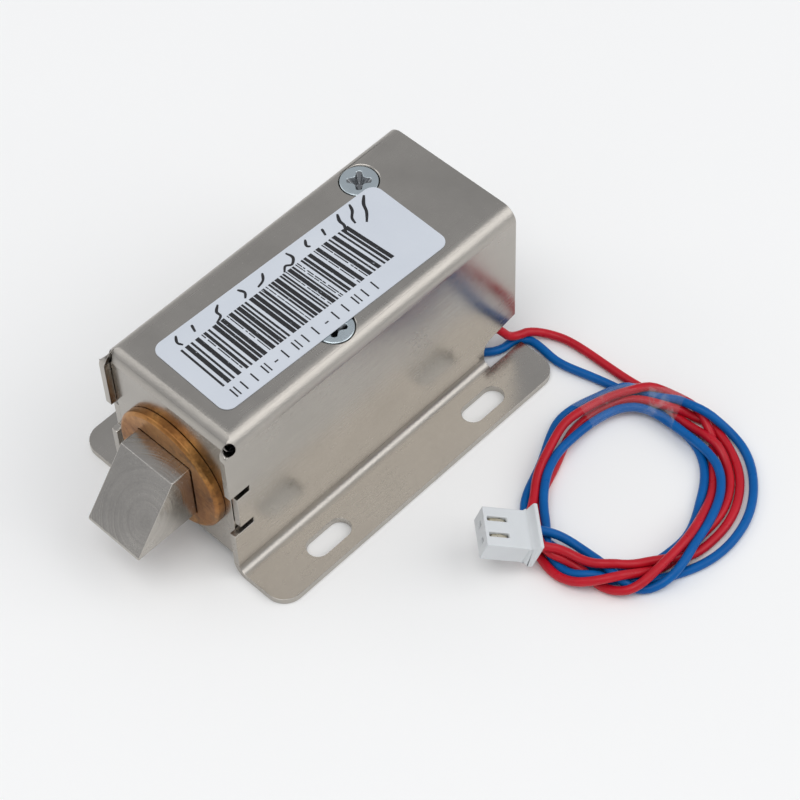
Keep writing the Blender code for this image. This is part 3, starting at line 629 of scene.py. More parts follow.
# A dark copy of the plating on the inner side of the left wall's lip is painted shade, for the shadow in the lip's
# crevice.
sheet.data.materials.append(NICKEL_PAINTED_SHADE)
for face in sheet.data.polygons:
    c = face.center / MM
    if face.normal.x > 0.9 and abs(c.x + WALL_IN) < 0.15 and c.y - SHIFT_Y < FLAP_FACE + 0.4 and c.z > 17.5:
        face.material_index = 1
shown(sheet, "lock", "plated_steel", "housing")

# --- ring, bolt and spring -----------------------------------------------------------------------------------------
ring_back = FLAP_FACE + T + 0.55
bush = piece(
    "bronze_ring",
    turned(
        [
            (ring_back, 0),
            (ring_back, RING_BACK_R),
            (FLAP_FACE - 0.02, RING_BACK_R),
            (FLAP_FACE - 0.02, RING_OUT_R),
            (FLAP_FACE - 1.1, RING_OUT_R),
            (FLAP_FACE - 1.45, RING_OUT_R - 0.45),
            (FLAP_FACE - 1.45, 0),
        ],
        96,
        "Y",
        (0, AXIS_Z),
    ),
    BRONZE,
)
carve(bush, cuts=[prism(rounded(RING_HOLE, RING_HOLE, 0.45, 5, 0, AXIS_Z), "Y", FLAP_FACE - 3, FLAP_FACE + 4)])
soften(bush, 0.14)
shown(bush, "lock", "bronze", "front_ring")

h = BOLT / 2
low, high = AXIS_Z - h, AXIS_Z + h
bolt_back = ring_back + 0.05
side_view = [(bolt_back, low), (bolt_back, high), (BOLT_TOP_Y, high), (BOLT_TIP_Y, low + 0.45), (BOLT_TIP_Y, low)]
nose = piece("bolt_nose", prism(side_view, "X", -h, h), NICKEL_BOLT)
soften(nose, 0.17, 2, 30)
carve(
    nose,
    joins=[turned([(bolt_back - 2, 0), (bolt_back - 2, 2.5), (bolt_back + 7.9, 2.5), (bolt_back + 8.2, 2.2), (bolt_back + 8.2, 0)], 40, "Y", (0, AXIS_Z))],
    cuts=[turned([(-5, 0), (-5, 1.15), (5, 1.15), (5, 0)], 28, "X", (bolt_back + 5.0, AXIS_Z))],
)
shown(nose, "bolt", "bolt_steel", "latch_bolt")

washer_y = bolt_back + 0.12
spring_front = washer_y + 1.0 + SPRING_WIRE / 2 + 0.15
spring_back = -6.6 - SPRING_WIRE / 2 - 0.15
coil = []
steps = int(SPRING_TURNS * 36)
for i in range(steps + 1):
    f = i / steps
    a = 2 * math.pi * SPRING_TURNS * f
    flat = 0.9 / SPRING_TURNS
    rise = SPRING_WIRE * 1.08
    if f < flat:
        y = spring_front + rise * f / flat
    elif f > 1 - flat:
        y = spring_back - rise * (1 - f) / flat
    else:
        y = spring_front + rise + (spring_back - spring_front - 2 * rise) * (f - flat) / (1 - 2 * flat)
    coil.append(Vector((SPRING_R * math.cos(a), y, AXIS_Z + SPRING_R * math.sin(a))))


def wound(points, r, n):
    """A round bar through the points, with closed ends."""
    bm = bmesh.new()
    rows = []
    for i, p in enumerate(points):
        ahead = (points[min(i + 1, len(points) - 1)] - points[max(i - 1, 0)]).normalized()
        out = Vector((p.x, 0, p.z - AXIS_Z)).normalized()
        out = (out - ahead * out.dot(ahead)).normalized()
        over = ahead.cross(out)
        rows.append([bm.verts.new(p + out * r * math.cos(2 * math.pi * k / n) + over * r * math.sin(2 * math.pi * k / n)) for k in range(n)])
    for one, two in zip(rows, rows[1:]):
        for k in range(n):
            j = (k + 1) % n
            bm.faces.new((one[k], one[j], two[j], two[k]))
    bm.faces.new(rows[0])
    bm.faces.new(list(reversed(rows[-1])))
    return bm


spring = piece("bolt_spring", wound(coil, SPRING_WIRE / 2, 14), STEEL, 50)
shown(spring, "lock", "spring_steel", "return_spring")
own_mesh(spring)

# --- screws --------------------------------------------------------------------------------------------------------
for name, (x, y) in SCREWS.items():
    screw = piece(
        name.replace("mounting_", "countersunk_"),
        turned(
            [
                (WEB_Z1 - YOKE_T - 1.2, 0),
                (WEB_Z1 - YOKE_T - 1.2, SCREW_R - 0.35),
                (WEB_Z1 - YOKE_T - 0.8, SCREW_R),
                (TOP_IN - 0.02, SCREW_R),
                (TOP_IN + 0.12, 1.5),
                (BODY_H - 0.36, SCREW_HEAD_R - 0.05),
                (BODY_H - 0.2, SCREW_HEAD_R + 0.08),
                (BODY_H - 0.1, SCREW_HEAD_R + 0.02),
                (BODY_H - 0.05, SCREW_HEAD_R - 0.22),
                (BODY_H - 0.03, SCREW_HEAD_R - 0.7),
                (BODY_H - 0.03, 0),
            ],
            64,
            "Z",
            (x, y),
        ),
        ZINC,
    )
    # A cross recess, narrower at its foot.
    outlines = []
    for scale in (0.42, 1.08):
        outline = []
        for k in range(4):
            a = 90 * k + 44
            for r, d in ((1.62, -14), (1.72, 0), (1.62, 14), (0.98, 31), (0.9, 45), (0.98, 59)):
                t = math.radians(a + d)
                outline.append((x + r * scale * math.cos(t), y + r * scale * math.sin(t)))
        outlines.append(outline)
    carve(screw, cuts=[tapered(outlines[0], outlines[1], BODY_H - 1.35, BODY_H + 0.08)])
    soften(screw, 0.05, 2, 35)
    # The recess's faces take the dark zinc, as painted shade inside the hollow.
    screw.data.materials.append(ZINC_PAINTED_SHADE)
    for face in screw.data.polygons:
        c = face.center / MM
        if math.hypot(c.x - x, c.y - SHIFT_Y - y) < 2.1 and BODY_H - 1.5 < c.z < BODY_H - 0.08:
            face.material_index = 1
    shown(screw, "lock", "zinc_screw", name)

# --- label, with a plain print of bars and a few pen strokes ---------------------------------------------------------
ON_LABEL = Matrix.Translation((*LABEL_AT, 0)) @ Matrix.Rotation(LABEL_TURN, 4, "Z")
LABEL_TOP = BODY_H + 0.03 + LABEL_T


def on_label(bm):
    bmesh.ops.transform(bm, matrix=ON_LABEL, verts=bm.verts)
    return bm


sticker = piece("label_sheet", on_label(prism(rounded(LABEL_W, LABEL_L, 1.6, 10), "Z", BODY_H + 0.03, LABEL_TOP)), PAPER)
shown(sticker, "lock", "label_stock", "label")


def gathered(outlines, low, high):
    """Several flat shapes of one thickness in one mesh."""
    bm = bmesh.new()
    for points in outlines:
        first = [bm.verts.new((*p, low)) for p in points]
        last = [bm.verts.new((*p, high)) for p in points]
        bm.faces.new(list(reversed(first)))
        bm.faces.new(last)
        for i in range(len(points)):
            j = (i + 1) % len(points)
            bm.faces.new((first[i], first[j], last[j], last[i]))
    return bm


rng = random.Random(11)
bars = []
y = -17.2
while y < 12.0:
    wide = rng.choice((0.15, 0.17, 0.3, 0.32, 0.46, 0.62, 0.64))
    x0, x1 = -4.35, 3.85
    lean = 0.084 * (y + 17.0) / 29.0
    pieces = [(x0, x1)]
    if wide < 0.2:
        pieces, at = [], x0
        while at < x1 - 0.2:
            run = rng.uniform(0.35, 2.8)
            pieces.append((at, min(x1, at + run)))
            at += run + rng.choice((0.12, 0.18, 0.4))
    for a, b in pieces:
        if b - a > 0.1:
            bars.append([(a, y + lean * a), (b, y + lean * b), (b, y + wide + lean * b), (a, y + wide + lean * a)])
    y += wide + rng.choice((0.16, 0.17, 0.3, 0.31, 0.46))
# Small plain ticks beside the bars.
for k in range(15):
    y = -17.0 + 1.75 * k
    if k in (4, 9):
        bars.append([(5.5, y), (5.72, y + 0.02), (5.72, y + 0.6), (5.5, y + 0.58)])
    else:
        bars.append([(4.75, y), (6.35, y - 0.03), (6.35, y + 0.2), (4.75, y + 0.23)])
        if k % 3 == 0:
            bars.append([(4.75, y + 0.6), (6.35, y + 0.57), (6.35, y + 0.77), (4.75, y + 0.8)])
printed = piece("label_print", on_label(gathered(bars, LABEL_TOP + 0.002, LABEL_TOP + 0.012)), INK, 0)
shown(printed, "lock", "label_stock")


def stroke(points, wide):
    """A pen line with round ends, as an outline."""
    pts = [Vector(p) for p in points]
    smooth = []
    ext = [2 * pts[0] - pts[1]] + pts + [2 * pts[-1] - pts[-2]]
    for a, b, c, d in zip(ext, ext[1:], ext[2:], ext[3:]):
        for i in range(6):
            t = i / 6
            smooth.append(0.5 * ((2 * b) + (c - a) * t + (2 * a - 5 * b + 4 * c - d) * t * t + (3 * b - a - 3 * c + d) * t ** 3))
    smooth.append(pts[-1])
    left, right_side = [], []
    for i, p in enumerate(smooth):
        ahead = (smooth[min(i + 1, len(smooth) - 1)] - smooth[max(i - 1, 0)]).normalized()
        side = Vector((-ahead.y, ahead.x))
        f = i / (len(smooth) - 1)
        half = wide / 2 * (0.55 + 0.45 * math.sin(math.pi * min(1, max(0, f * 1.1)))) + 0.03 * math.sin(9 * f)
        left.append(p + side * half)
        right_side.append(p - side * half)
    quads = [[left[i], left[i + 1], right_side[i + 1], right_side[i]] for i in range(len(smooth) - 1)]
    return [[(q.x, q.y) for q in quad] for quad in quads]


WAVES = [
    ([(-6.7, 17.4), (-5.6, 16.3), (-4.3, 15.6), (-3.0, 14.4)], 0.5),
    ([(-6.9, 14.9), (-5.8, 14.4), (-4.9, 13.5), (-3.9, 13.2)], 0.45),
    ([(-6.8, 12.6), (-5.7, 12.0), (-4.7, 11.9), (-3.6, 11.2)], 0.5),
    ([(-6.4, 9.4), (-5.2, 9.0)], 0.4),
    ([(-6.6, 6.6), (-5.7, 6.0), (-5.2, 6.3)], 0.42),
    ([(-6.7, 3.2), (-5.5, 3.4), (-4.7, 2.5), (-5.1, 1.7), (-4.4, 0.9)], 0.42),
    ([(-6.4, -1.2), (-5.4, -2.0), (-5.0, -3.2)], 0.4),
    ([(-6.6, -5.4), (-5.6, -5.0), (-4.8, -5.6)], 0.42),
    ([(-6.6, -8.8), (-5.8, -9.7), (-4.9, -9.8), (-4.4, -10.9)], 0.42),
    ([(-6.5, -13.4), (-5.3, -13.8)], 0.4),
    ([(-6.6, -16.0), (-5.6, -16.6), (-4.8, -16.3)], 0.4),
]
marks = []
for points, wide in WAVES:
    marks += stroke(points, wide)
pen = piece("label_pen_strokes", on_label(gathered(marks, LABEL_TOP + 0.004, LABEL_TOP + 0.014)), PEN, 0)
shown(pen, "lock", "label_stock")

# --- leads ---------------------------------------------------------------------------------------------------------
# Each lead's way, first inside the lock (x, y, z), then as the camera sees it: (u, v, height of its middle).
RED_START = [(7.0, 18.0, 5.6), (8.3, 20.4, 5.5), (9.8, 22.8, 5.2), (10.9, 24.2, 4.4), (11.65, 24.95, 3.3), (12.3, 25.8, 2.5), (12.8, 26.9, 2.0)]
RED_SEEN = [
    # out to the coil, under the strands at its top, and down the right
    (523, 334.8, 1.75), (531, 332.9, 1.3), (540, 332.5, 0.85), (550, 334, 0.65), (560, 337.2, 0.65), (570, 342, 0.65), (580, 347.8, 0.65),
    (590, 354.3, 0.65), (600, 361, 0.65), (610, 367.8, 0.65), (620, 374.7, 0.65), (630, 381.5, 0.65), (639, 387, 0.65),
    (648, 393, 0.65), (658, 401.5, 0.65), (668, 410.5, 0.65), (680, 419.5, 0.65), (690, 425.5, 0.65),
    (700, 431.5, 0.65), (710, 439.5, 0.65), (717, 448, 0.65), (723, 457, 0.65), (728, 468, 0.65), (730, 480, 0.65), (730, 490, 0.65),
    (727, 500, 0.65), (722, 511, 0.65), (716, 520, 0.65), (708, 529, 0.65), (700, 536, 0.65), (693, 542, 0.65), (686, 549, 0.65),
    # along the bottom
    (679, 556, 0.65), (671, 562, 0.7), (661, 567, 1.0), (647, 571, 1.6), (635, 573.5, 2.0), (620, 575.5, 2.7), (610, 577.5, 3.0),
    (600, 579.5, 3.0), (590, 580.5, 2.6), (578, 581, 1.8), (568, 579.5, 1.1), (560, 575, 0.65), (553, 569, 0.65), (546, 562, 0.65),
    (541, 557, 0.65), (535.5, 549, 0.7), (531.5, 538, 0.9), (530, 525, 1.2), (531.5, 512, 1.5), (535, 500, 1.8),
    # up the left and over the others at the top
    (537, 485, 2.0), (540.5, 472, 2.2), (544.5, 459.5, 2.4), (553, 442, 2.6), (563, 423.5, 2.7), (570, 417.5, 2.7), (580, 411.5, 2.7),
    (590, 406, 2.7), (600, 400, 2.6), (610, 396, 2.5), (620, 392.8, 2.3), (630, 390.8, 2.2), (640, 389.8, 2.1), (650, 389.8, 2.0), (665, 392.3, 1.7),
    (680, 397.8, 1.5), (690, 403.5, 1.3), (699, 412, 1.0), (706, 422, 0.8), (711, 434, 0.65), (713.5, 447, 0.65),
    (713.5, 460, 0.65), (713, 472, 0.65), (714, 482, 0.7), (713, 490, 0.9),
    # over everything at the lower right, then the bottom again
    (709, 500, 1.3), (704, 511, 1.9), (698, 522, 2.6), (693, 530, 2.9), (687, 538, 3.1), (680, 546, 3.1), (673, 554, 3.1),
    (665, 561, 3.1), (657, 568, 2.9), (650, 575, 2.4), (643, 581, 1.9), (636, 586, 1.6), (626, 589, 1.3), (614, 588.8, 0.9),
    (603, 585, 0.65), (594, 577.5, 0.65), (585, 568.5, 0.65), (571, 563.5, 0.65), (558, 558.5, 0.9), (548, 550.5, 1.5), (541.5, 539, 1.8),
    (538, 524, 1.3), (539, 507, 0.8),
    # inner strand, up the left again, and down the right outside
    (543.5, 490, 0.65), (551, 475, 0.65), (559.5, 458, 0.65), (568, 438.5, 0.65), (578, 425, 0.65), (590, 417, 0.65), (605, 407, 0.8),
    (620, 400.5, 1.2), (632, 399, 1.7), (645, 399.5, 2.0), (655, 402, 2.0), (662, 404.3, 1.95), (670, 407, 1.8), (680, 410.5, 1.5), (690, 414.5, 1.1), (700, 419.5, 0.8),
    (710, 427, 0.65), (720, 436, 0.65), (727, 445, 0.65), (733, 456, 0.65), (738, 468, 0.65), (740, 480, 0.65), (739.5, 490, 0.65),
    (738, 500, 0.65), (735, 510, 0.65), (730, 520, 0.65), (723, 530, 0.65), (715, 538, 0.65), (706, 546, 0.65), (697, 552, 0.8),
    # last stretch, over the bottom strands to the plug
    (688, 556, 1.3), (677, 557.5, 1.9), (665, 558.5, 1.95), (650, 562, 1.95), (635, 564.5, 1.95),
    (620, 566, 2.1), (610, 566.3, 2.4), (600, 565.5, 2.6), (590, 563, 2.6), (583, 561, 2.5), (577, 557, 2.6), (567, 551, 3.0), (558, 547.6, 3.3),
]
BLUE_START = [
    (5.9, 16.4, 4.3), (7.6, 19.0, 2.3), (9.6, 21.0, 1.2), (11.0, 22.7, 0.85), (11.65, 24.2, 0.68), (11.8, 25.6, 0.68), (11.99, 26.56, 0.68),
    (12.53, 27.37, 0.68), (13.34, 27.91, 0.67), (14.3, 28.1, 0.66), (16.2, 28.0, 0.65), (18.0, 27.6, 0.65),
]
BLUE_SEEN = [
    (560, 364, 0.65), (570, 367.7, 0.65), (580, 371.7, 0.65), (590, 375.8, 0.65), (600, 380.5, 0.65), (610, 385, 0.65), (620, 390, 0.65),
    (632, 396, 0.65), (645, 403.5, 0.65),
    (660, 413, 0.65), (675, 424, 0.65), (687, 436, 0.65), (696, 446, 0.65), (702, 458, 0.65), (704.5, 470, 0.65), (705, 480, 0.65),
    (703, 490, 0.65), (700, 502, 0.65), (697, 514, 0.65), (693, 525, 0.65), (687, 537, 0.65), (679, 547.5, 0.65), (667, 557, 0.65),
    (652, 565, 0.65), (636, 569.5, 0.65), (620, 571, 0.65), (600, 570, 0.65), (583, 565.5, 0.65), (571, 560.5, 0.65), (560, 555, 0.65), (550, 549, 0.7),
    (540, 541.5, 0.7), (531, 530, 0.65), (525.5, 517, 0.65), (524, 506, 0.65),
    # outer strand, up the left, over the top and down the right
    (527, 494, 0.65), (533, 481, 0.65), (541, 465, 0.65), (546, 449, 0.65), (551, 436, 0.65), (556, 424, 0.65), (562, 416.5, 0.65),
    (570, 411, 0.65), (580, 405.5, 0.65), (590, 400.5, 0.65), (600, 396, 0.65), (612, 391.5, 0.65), (625, 388.5, 0.9), (637, 389, 0.9), (648, 392.5, 1.2),
    (660, 397.5, 1.5), (670, 400, 1.9), (680, 403, 2.2), (690, 406, 2.5), (700, 411, 2.6), (710, 417, 2.2),
    (720, 424, 1.5), (730, 432, 0.9), (740, 443, 0.65), (746, 454, 0.65), (751, 466, 0.65), (753, 480, 0.65), (753.5, 490, 0.65),
    (752, 503, 0.65), (749, 514, 0.65), (744, 525, 0.65), (737, 535, 0.65), (729, 545, 0.65), (720, 553, 0.65), (710, 560, 0.65),
    (700, 565.5, 0.65), (690, 570, 0.65), (680, 573, 0.65), (668, 577, 0.65), (655, 580.5, 0.65), (640, 582.5, 0.65), (625, 582.5, 0.65),
    (612, 580.3, 1.2), (601, 577.5, 1.8), (590, 575.8, 1.8), (579, 575, 1.2), (568, 572.5, 0.8), (560, 568, 0.65), (554, 561, 0.65),
    (548.5, 552, 0.65), (545, 540, 0.9), (542, 525, 1.1), (542.5, 508, 1.4), (542.5, 492, 1.5),
    # on the inner strands, up the left and down the right
    (546, 472, 1.7), (552, 462, 1.8), (560, 450, 1.8), (570, 441, 1.8), (580, 431, 1.8), (590, 423.5, 1.8), (600, 417.5, 1.8),
    (610, 412, 1.8), (620, 408, 1.8), (640, 406, 1.8), (655, 413, 1.8), (665, 419, 1.8), (675, 426, 1.7), (685, 433, 1.6), (695, 441, 1.6),
    (705, 450, 1.6), (712, 458, 1.6), (718, 468, 1.6), (721, 478, 1.6), (721, 488, 1.6), (719.5, 497, 1.6), (717, 507, 1.7),
    (713, 515, 1.8), (707, 526, 1.9), (701, 534, 2.2), (695, 541, 2.4), (691, 548, 2.5), (686, 557, 2.4), (681, 565, 2.1),
    (675, 572, 2.0), (668, 578, 1.8), (660, 583, 1.3), (652, 587, 0.9), (644, 589.5, 0.7), (636, 590, 0.7), (629, 586, 0.9),
    (620, 579, 1.6), (608, 570, 1.8), (598, 561.5, 1.6), (590, 555, 1.3), (580, 547.5, 1.3), (570, 541, 1.9), (560, 534.5, 2.9),
]


def even(points, step):
    """Catmull-Rom curve through the points, as an array at even steps."""
    p = np.array([list(q) for q in points], float)
    p = np.vstack([2 * p[0] - p[1], p, 2 * p[-1] - p[-2]])
    t = np.linspace(0, 1, 24, endpoint=False)[:, None]
    fine = [
        0.5 * ((2 * b) + (c - a) * t + (2 * a - 5 * b + 4 * c - d) * t**2 + (3 * b - a - 3 * c + d) * t**3)
        for a, b, c, d in zip(p, p[1:], p[2:], p[3:])
    ]
    fine = np.vstack([*fine, p[-2][None]])
    walked = np.concatenate([[0], np.cumsum(np.linalg.norm(np.diff(fine, axis=0), axis=1))])
    n = max(2, round(walked[-1] / step))
    at = np.linspace(0, walked[-1], n + 1)
    return np.stack([np.interp(at, walked, fine[:, k]) for k in range(3)], axis=1)


across = PLUG_ALONG.cross(Vector((0, 0, 1))).normalized()
upward = across.cross(PLUG_ALONG).normalized()


def on_plug(x, y, z):
    """A point of the plug's own layout: x across, y towards its mouth, z to its windowed side."""
    return PLUG_AT + across * x + PLUG_ALONG * y + upward * z


STEP = 0.85


def route(start, seen, way_x):
    points = [Vector(p) for p in start] + [seen_at(*p) for p in seen]
    points += [on_plug(way_x, -2.6, 0.0), on_plug(way_x, -0.9, 0.0), on_plug(way_x, 0.6, 0.0)]
    return even(points, STEP)


def settle(cords, fixed_start, fixed_end, rounds):
    """Lets the strands lie on the floor and on each other: none enters another, none bends tighter than a lead can, and
    each stays close to where the camera sees it."""
    eye = np.array(EYE)
    owner = np.concatenate([[k] * len(c) for k, c in enumerate(cords)])
    index = np.concatenate([np.arange(len(c)) for c in cords])
    p = np.vstack(cords)
    free = np.ones(len(p), bool)
    base = 0
    for c, a, b in zip(cords, fixed_start, fixed_end):
        free[base : base + a] = False
        free[base + len(c) - b : base + len(c)] = False
        base += len(c)
    home = p.copy()
    rays = p - eye
    rays /= np.linalg.norm(rays, axis=1)[:, None]
    near = (owner[:, None] == owner[None, :]) & (np.abs(index[:, None] - index[None, :]) < 6)
    apart = 2 * LEAD_R + 0.02
    inner = free & np.roll(free, 1) & np.roll(free, -1)
    most = STEP**2 / (2 * 2.9)
    for k in range(rounds):
        for _ in range(4):
            mid = 0.5 * (np.roll(p, 1, 0) + np.roll(p, -1, 0)) - p
            bend = mid - 0.5 * (np.roll(mid, 1, 0) + np.roll(mid, -1, 0))
            p[inner] += 0.3 * bend[inner]
            size = np.linalg.norm(mid, axis=1)[:, None] + 1e-9
            p[inner] += 0.25 * (mid * np.maximum(0, 1 - most / size))[inner]
        p[free, 2] -= 0.006
        away = p - home
        along = (away * rays).sum(1)[:, None] * rays
        pull = 0.12 if k < rounds - 60 else 0.04
        p[free] -= (pull * (away - along) + 0.25 * pull * along)[free]
        for _ in range(3):
            d = p[:, None, :] - p[None, :, :]
            r = np.sqrt((d**2).sum(2)) + 1e-9
            hit = (r < apart) & ~near
            push = np.where(hit, (apart - r) / r * 0.5, 0.0)
            move = (push[:, :, None] * d).sum(1)
            count = np.maximum(hit.sum(1), 1)[:, None]
            p[free] += (move / np.sqrt(count))[free]
            p[:, 2] = np.where(free, np.maximum(p[:, 2], LEAD_R + 0.02), p[:, 2])
    return [p[owner == k] for k in range(len(cords))]


red_path, blue_path = settle([route(RED_START, RED_SEEN, -1.25), route(BLUE_START, BLUE_SEEN, 1.25)], (11, 21), (4, 4), 150)


def lead(name, path, mat):
    curve = bpy.data.curves.new(name, "CURVE")
    curve.dimensions = "3D"
    spline = curve.splines.new("POLY")
    spline.points.add(len(path) - 1)
    for point, q in zip(spline.points, path):
        point.co = (q[0] * MM, (q[1] + SHIFT_Y) * MM, q[2] * MM, 1)
    curve.bevel_depth = LEAD_R * MM
    curve.bevel_resolution = 6
    curve.use_fill_caps = True
    spline.use_smooth = True
    curve.materials.append(mat)
    obj = bpy.data.objects.new(name, curve)
    SCENE.collection.objects.link(obj)
    return obj


def long_of(path):
    return float(np.linalg.norm(np.diff(path, axis=0), axis=1).sum()) * MM


red = shown(lead("red_wire", red_path, RED), "lock", "red_pvc", "red_lead", "lead_coil")
blue = shown(lead("blue_wire", blue_path, BLUE), "lock", "blue_pvc", "blue_lead")
print("leads", round(long_of(red_path), 4), round(long_of(blue_path), 4))

# --- clear tape: one turn of film pulled round the bundle --------------------------------------------------------------
def hull(points):
    points = sorted(map(tuple, points))

    def half(seq):
        out = []
        for p in seq:
            while len(out) > 1 and (out[-1][0] - out[-2][0]) * (p[1] - out[-2][1]) - (out[-1][1] - out[-2][1]) * (p[0] - out[-2][0]) <= 0:
                out.pop()
            out.append(p)
        return out[:-1]

    return half(points) + half(reversed(points))


def around(angle, low_r, high_r, gap, n):
    """The tape's line round the strands that cross this half-plane of the coil, as n points (r, z)."""
    a = math.radians(angle)
    out, side = np.array([math.cos(a), math.sin(a)]), np.array([-math.sin(a), math.cos(a)])
    ringed = []
    for path in (red_path, blue_path):
        rel = path[:, :2] - np.array(COIL_AT)
        s, r = rel @ side, rel @ out
        for i in range(len(path) - 1):
            if s[i] * s[i + 1] <= 0 and s[i] != s[i + 1]:
                f = s[i] / (s[i] - s[i + 1])
                at = r[i] + (r[i + 1] - r[i]) * f
                z = path[i, 2] + (path[i + 1, 2] - path[i, 2]) * f
                if low_r < at < high_r:
                    ringed += arc(at, z, LEAD_R + gap, 0, 345, 23)
    edge = np.array(hull(ringed))
    middle = edge.mean(0)
    ahead = np.roll(edge, -1, 0) - edge
    normal = np.stack([ahead[:, 1], -ahead[:, 0]], 1)
    reach = ((edge - middle) * normal).sum(1)
    line = []
    for k in range(n):
        t = 2 * math.pi * k / n
        d = np.array([math.cos(t), math.sin(t)])
        facing = normal @ d
        line.append(middle + d * (reach[facing > 1e-9] / facing[facing > 1e-9]).min())
    return np.array(line)


TAPE_FROM, TAPE_TO = 108, 168
turns = np.array([around(a, 10.3, 16.9, 0.05, 56) for a in range(TAPE_FROM, TAPE_TO + 1, 3)])
for _ in range(3):
    turns[1:-1] = 0.5 * turns[1:-1] + 0.25 * (turns[:-2] + turns[2:])
bm = bmesh.new()
rows = []
for i, line in enumerate(turns):
    a = math.radians(TAPE_FROM + 3 * i)
    rows.append([bm.verts.new((COIL_AT[0] + r * math.cos(a), COIL_AT[1] + r * math.sin(a), max(z, 0.03))) for r, z in line])
for one, two in zip(rows, rows[1:]):
    for k in range(len(one)):
        j = (k + 1) % len(one)
        bm.faces.new((one[k], one[j], two[j], two[k]))
wrap = piece("clear_film", bm, CLEAR, 60)
shown(wrap, "lock", "clear_tape", "coil_tape")

# --- plug ----------------------------------------------------------------------------------------------------------
TO_PLUG = Matrix((
    (across.x, PLUG_ALONG.x, upward.x, PLUG_AT.x),
    (across.y, PLUG_ALONG.y, upward.y, PLUG_AT.y),
    (across.z, PLUG_ALONG.z, upward.z, PLUG_AT.z),
    (0, 0, 0, 1),
))


def for_plug(bm):
    bmesh.ops.transform(bm, matrix=TO_PLUG, verts=bm.verts)
    return bm


shell = piece("plug_shell", for_plug(box(-3.08, 3.08, -0.4, 6.64, -1.65, 1.65)), WHITE)
rim = [(-0.77, -1.85), (-0.77, 2.86), (-0.25, 2.86), (0.1, 2.1), (0.75, 1.5), (0.75, -1.5), (0.0, -1.85)]
cuts = []
for side in (-1, 1):
    edge = [(side * 3.09, 0.8), (side * 3.2, 0.35), (side * 3.55, -0.1), (side * 4.2, -0.1), (side * 4.2, 0.8)]
    cuts.append(for_plug(prism(edge, "Z", -3, 4)))
    x = side * 1.25
    cuts.append(for_plug(box(x - 0.85, x + 0.85, -3, 5.95, -0.85, 0.85)))
    cuts.append(for_plug(box(x - 0.45, x + 0.45, 5.5, 7.5, -0.45, 0.45)))
    cuts.append(for_plug(box(x - 0.35, x + 0.35, 3.35, 6.15, 0.3, 3)))
carve(shell, joins=[for_plug(prism(rim, "X", -3.5, 3.5))], cuts=cuts)
soften(shell, 0.16, 3, 30)
shown(shell, "lock", "plug_nylon", "connector_housing")

# Each terminal: a folded box at its mouth end with a spring tongue in the plug's window, and a crimp round its wire.
for tag, x in (("red", -1.25), ("blue", 1.25)):
    bm = for_plug(box(x - 0.6, x + 0.6, 2.9, 5.75, -0.55, 0.55))
    part = piece(f"contact_{tag}", bm, TIN)
    tongue = [(3.5, 0.45), (5.95, 0.45), (5.95, 0.8), (5.6, 1.22), (4.4, 1.34), (3.5, 1.1)]
    neck = [(0.1, -0.55), (3.0, -0.55), (3.0, 0.2), (2.3, 0.0), (2.0, 0.42), (0.1, 0.42)]
    carve(
        part,
        joins=[for_plug(prism(tongue, "X", x - 0.29, x + 0.29)), for_plug(prism(neck, "X", x - 0.58, x + 0.58))],
        cuts=[for_plug(box(x - 0.34, x + 0.34, 4.2, 6.5, -0.34, 0.3))],
    )
    soften(part, 0.05, 2, 35)
    shown(part, "lock", "tinned_brass", f"terminal_{tag}")

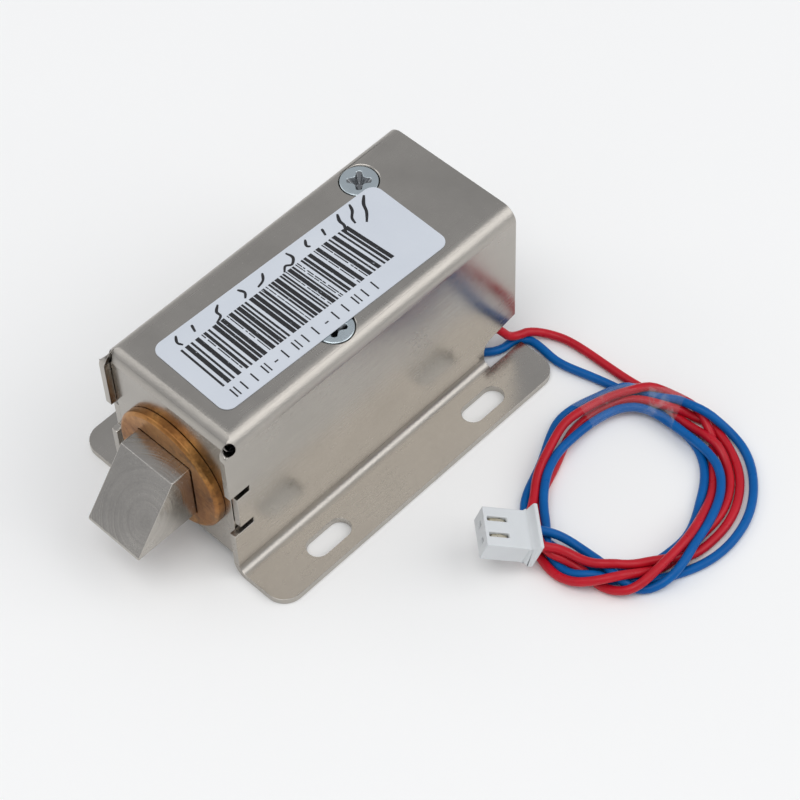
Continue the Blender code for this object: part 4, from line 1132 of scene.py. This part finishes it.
# --- CAD nodes that show as they are, with slightly rounded edges ----------------------------------------------------
LOOKS = {
    "housing": NICKEL,
    "front_ring": BRONZE,
    "latch_bolt": NICKEL_BOLT,
    "stop_washer": STEEL,
    "plunger": IRON,
    "cross_pin": STEEL,
    "return_spring": STEEL,
    "yoke_frame": STEEL,
    "bobbin": NYLON,
    "winding": COPPER,
    "winding_tape": FILM,
    "fixed_core": IRON,
    "mounting_screw_rear": ZINC,
    "mounting_screw_front": ZINC,
    "label": PAPER,
    "coil_tape": CLEAR,
    "connector_housing": WHITE,
    "terminal_red": TIN,
    "terminal_blue": TIN,
    "red_lead": RED,
    "blue_lead": BLUE,
    "lead_coil": RED,
}
for name, mat in LOOKS.items():
    obj = NODES[name]
    obj.data.materials.clear()
    obj.data.materials.append(mat)
for name in ("stop_washer", "plunger", "cross_pin", "yoke_frame", "bobbin", "winding", "winding_tape", "fixed_core"):
    obj = NODES[name]
    weld = obj.modifiers.new("weld", "WELD")
    weld.merge_threshold = 1e-6
    edges = obj.modifiers.new("edges", "BEVEL")
    edges.width, edges.segments = 0.08 * MM, 2
    edges.limit_method, edges.angle_limit = "ANGLE", math.radians(35)

# --- floor and light -----------------------------------------------------------------------------------------------
bm = bmesh.new()
bmesh.ops.create_grid(bm, x_segments=1, y_segments=1, size=3.0)
floor_mesh = bpy.data.meshes.new("floor")
bm.to_mesh(floor_mesh)
bm.free()
floor = link("floor", floor_mesh)
floor.location.z = -0.00002
ground = Nodes("floor_paper", (0.95, 0.945, 0.93), 0.0, 0.7)
ground.link(ground.mix(ground.span(ground.noise(6, 3), 0.3, 0.7, 0, 1), (0.945, 0.94, 0.925), (0.955, 0.95, 0.935)), ground.bsdf.inputs["Base Color"])
ground.bsdf.inputs["Specular IOR Level"].default_value = 0.2
floor_mesh.materials.append(ground.mat)

world = bpy.data.worlds.new("world")
SCENE.world = world
world.use_nodes = True
world.node_tree.nodes["Background"].inputs["Color"].default_value = (0.80, 0.82, 0.86, 1)
world.node_tree.nodes["Background"].inputs["Strength"].default_value = 0.62


def softbox(name, at, size, power, colour=(1, 1, 1)):
    light = bpy.data.lights.new(name, "AREA")
    light.shape, light.size, light.size_y = "RECTANGLE", size[0], size[1]
    light.energy, light.color = power, colour
    obj = bpy.data.objects.new(name, light)
    SCENE.collection.objects.link(obj)
    obj.location = at
    obj.rotation_euler = (-Vector(at)).to_track_quat("-Z", "Y").to_euler()
    return obj


softbox("back_right", (0.70, 0.50, 0.80), (0.95, 0.95), 4.2)
softbox("front_left", (-0.85, -0.45, 0.6), (0.7, 0.7), 1.6)
softbox("top", (0.1, -0.35, 1.2), (0.9, 0.6), 4.4)

SCENE.view_settings.view_transform = "Standard"
SCENE.view_settings.look = "None"
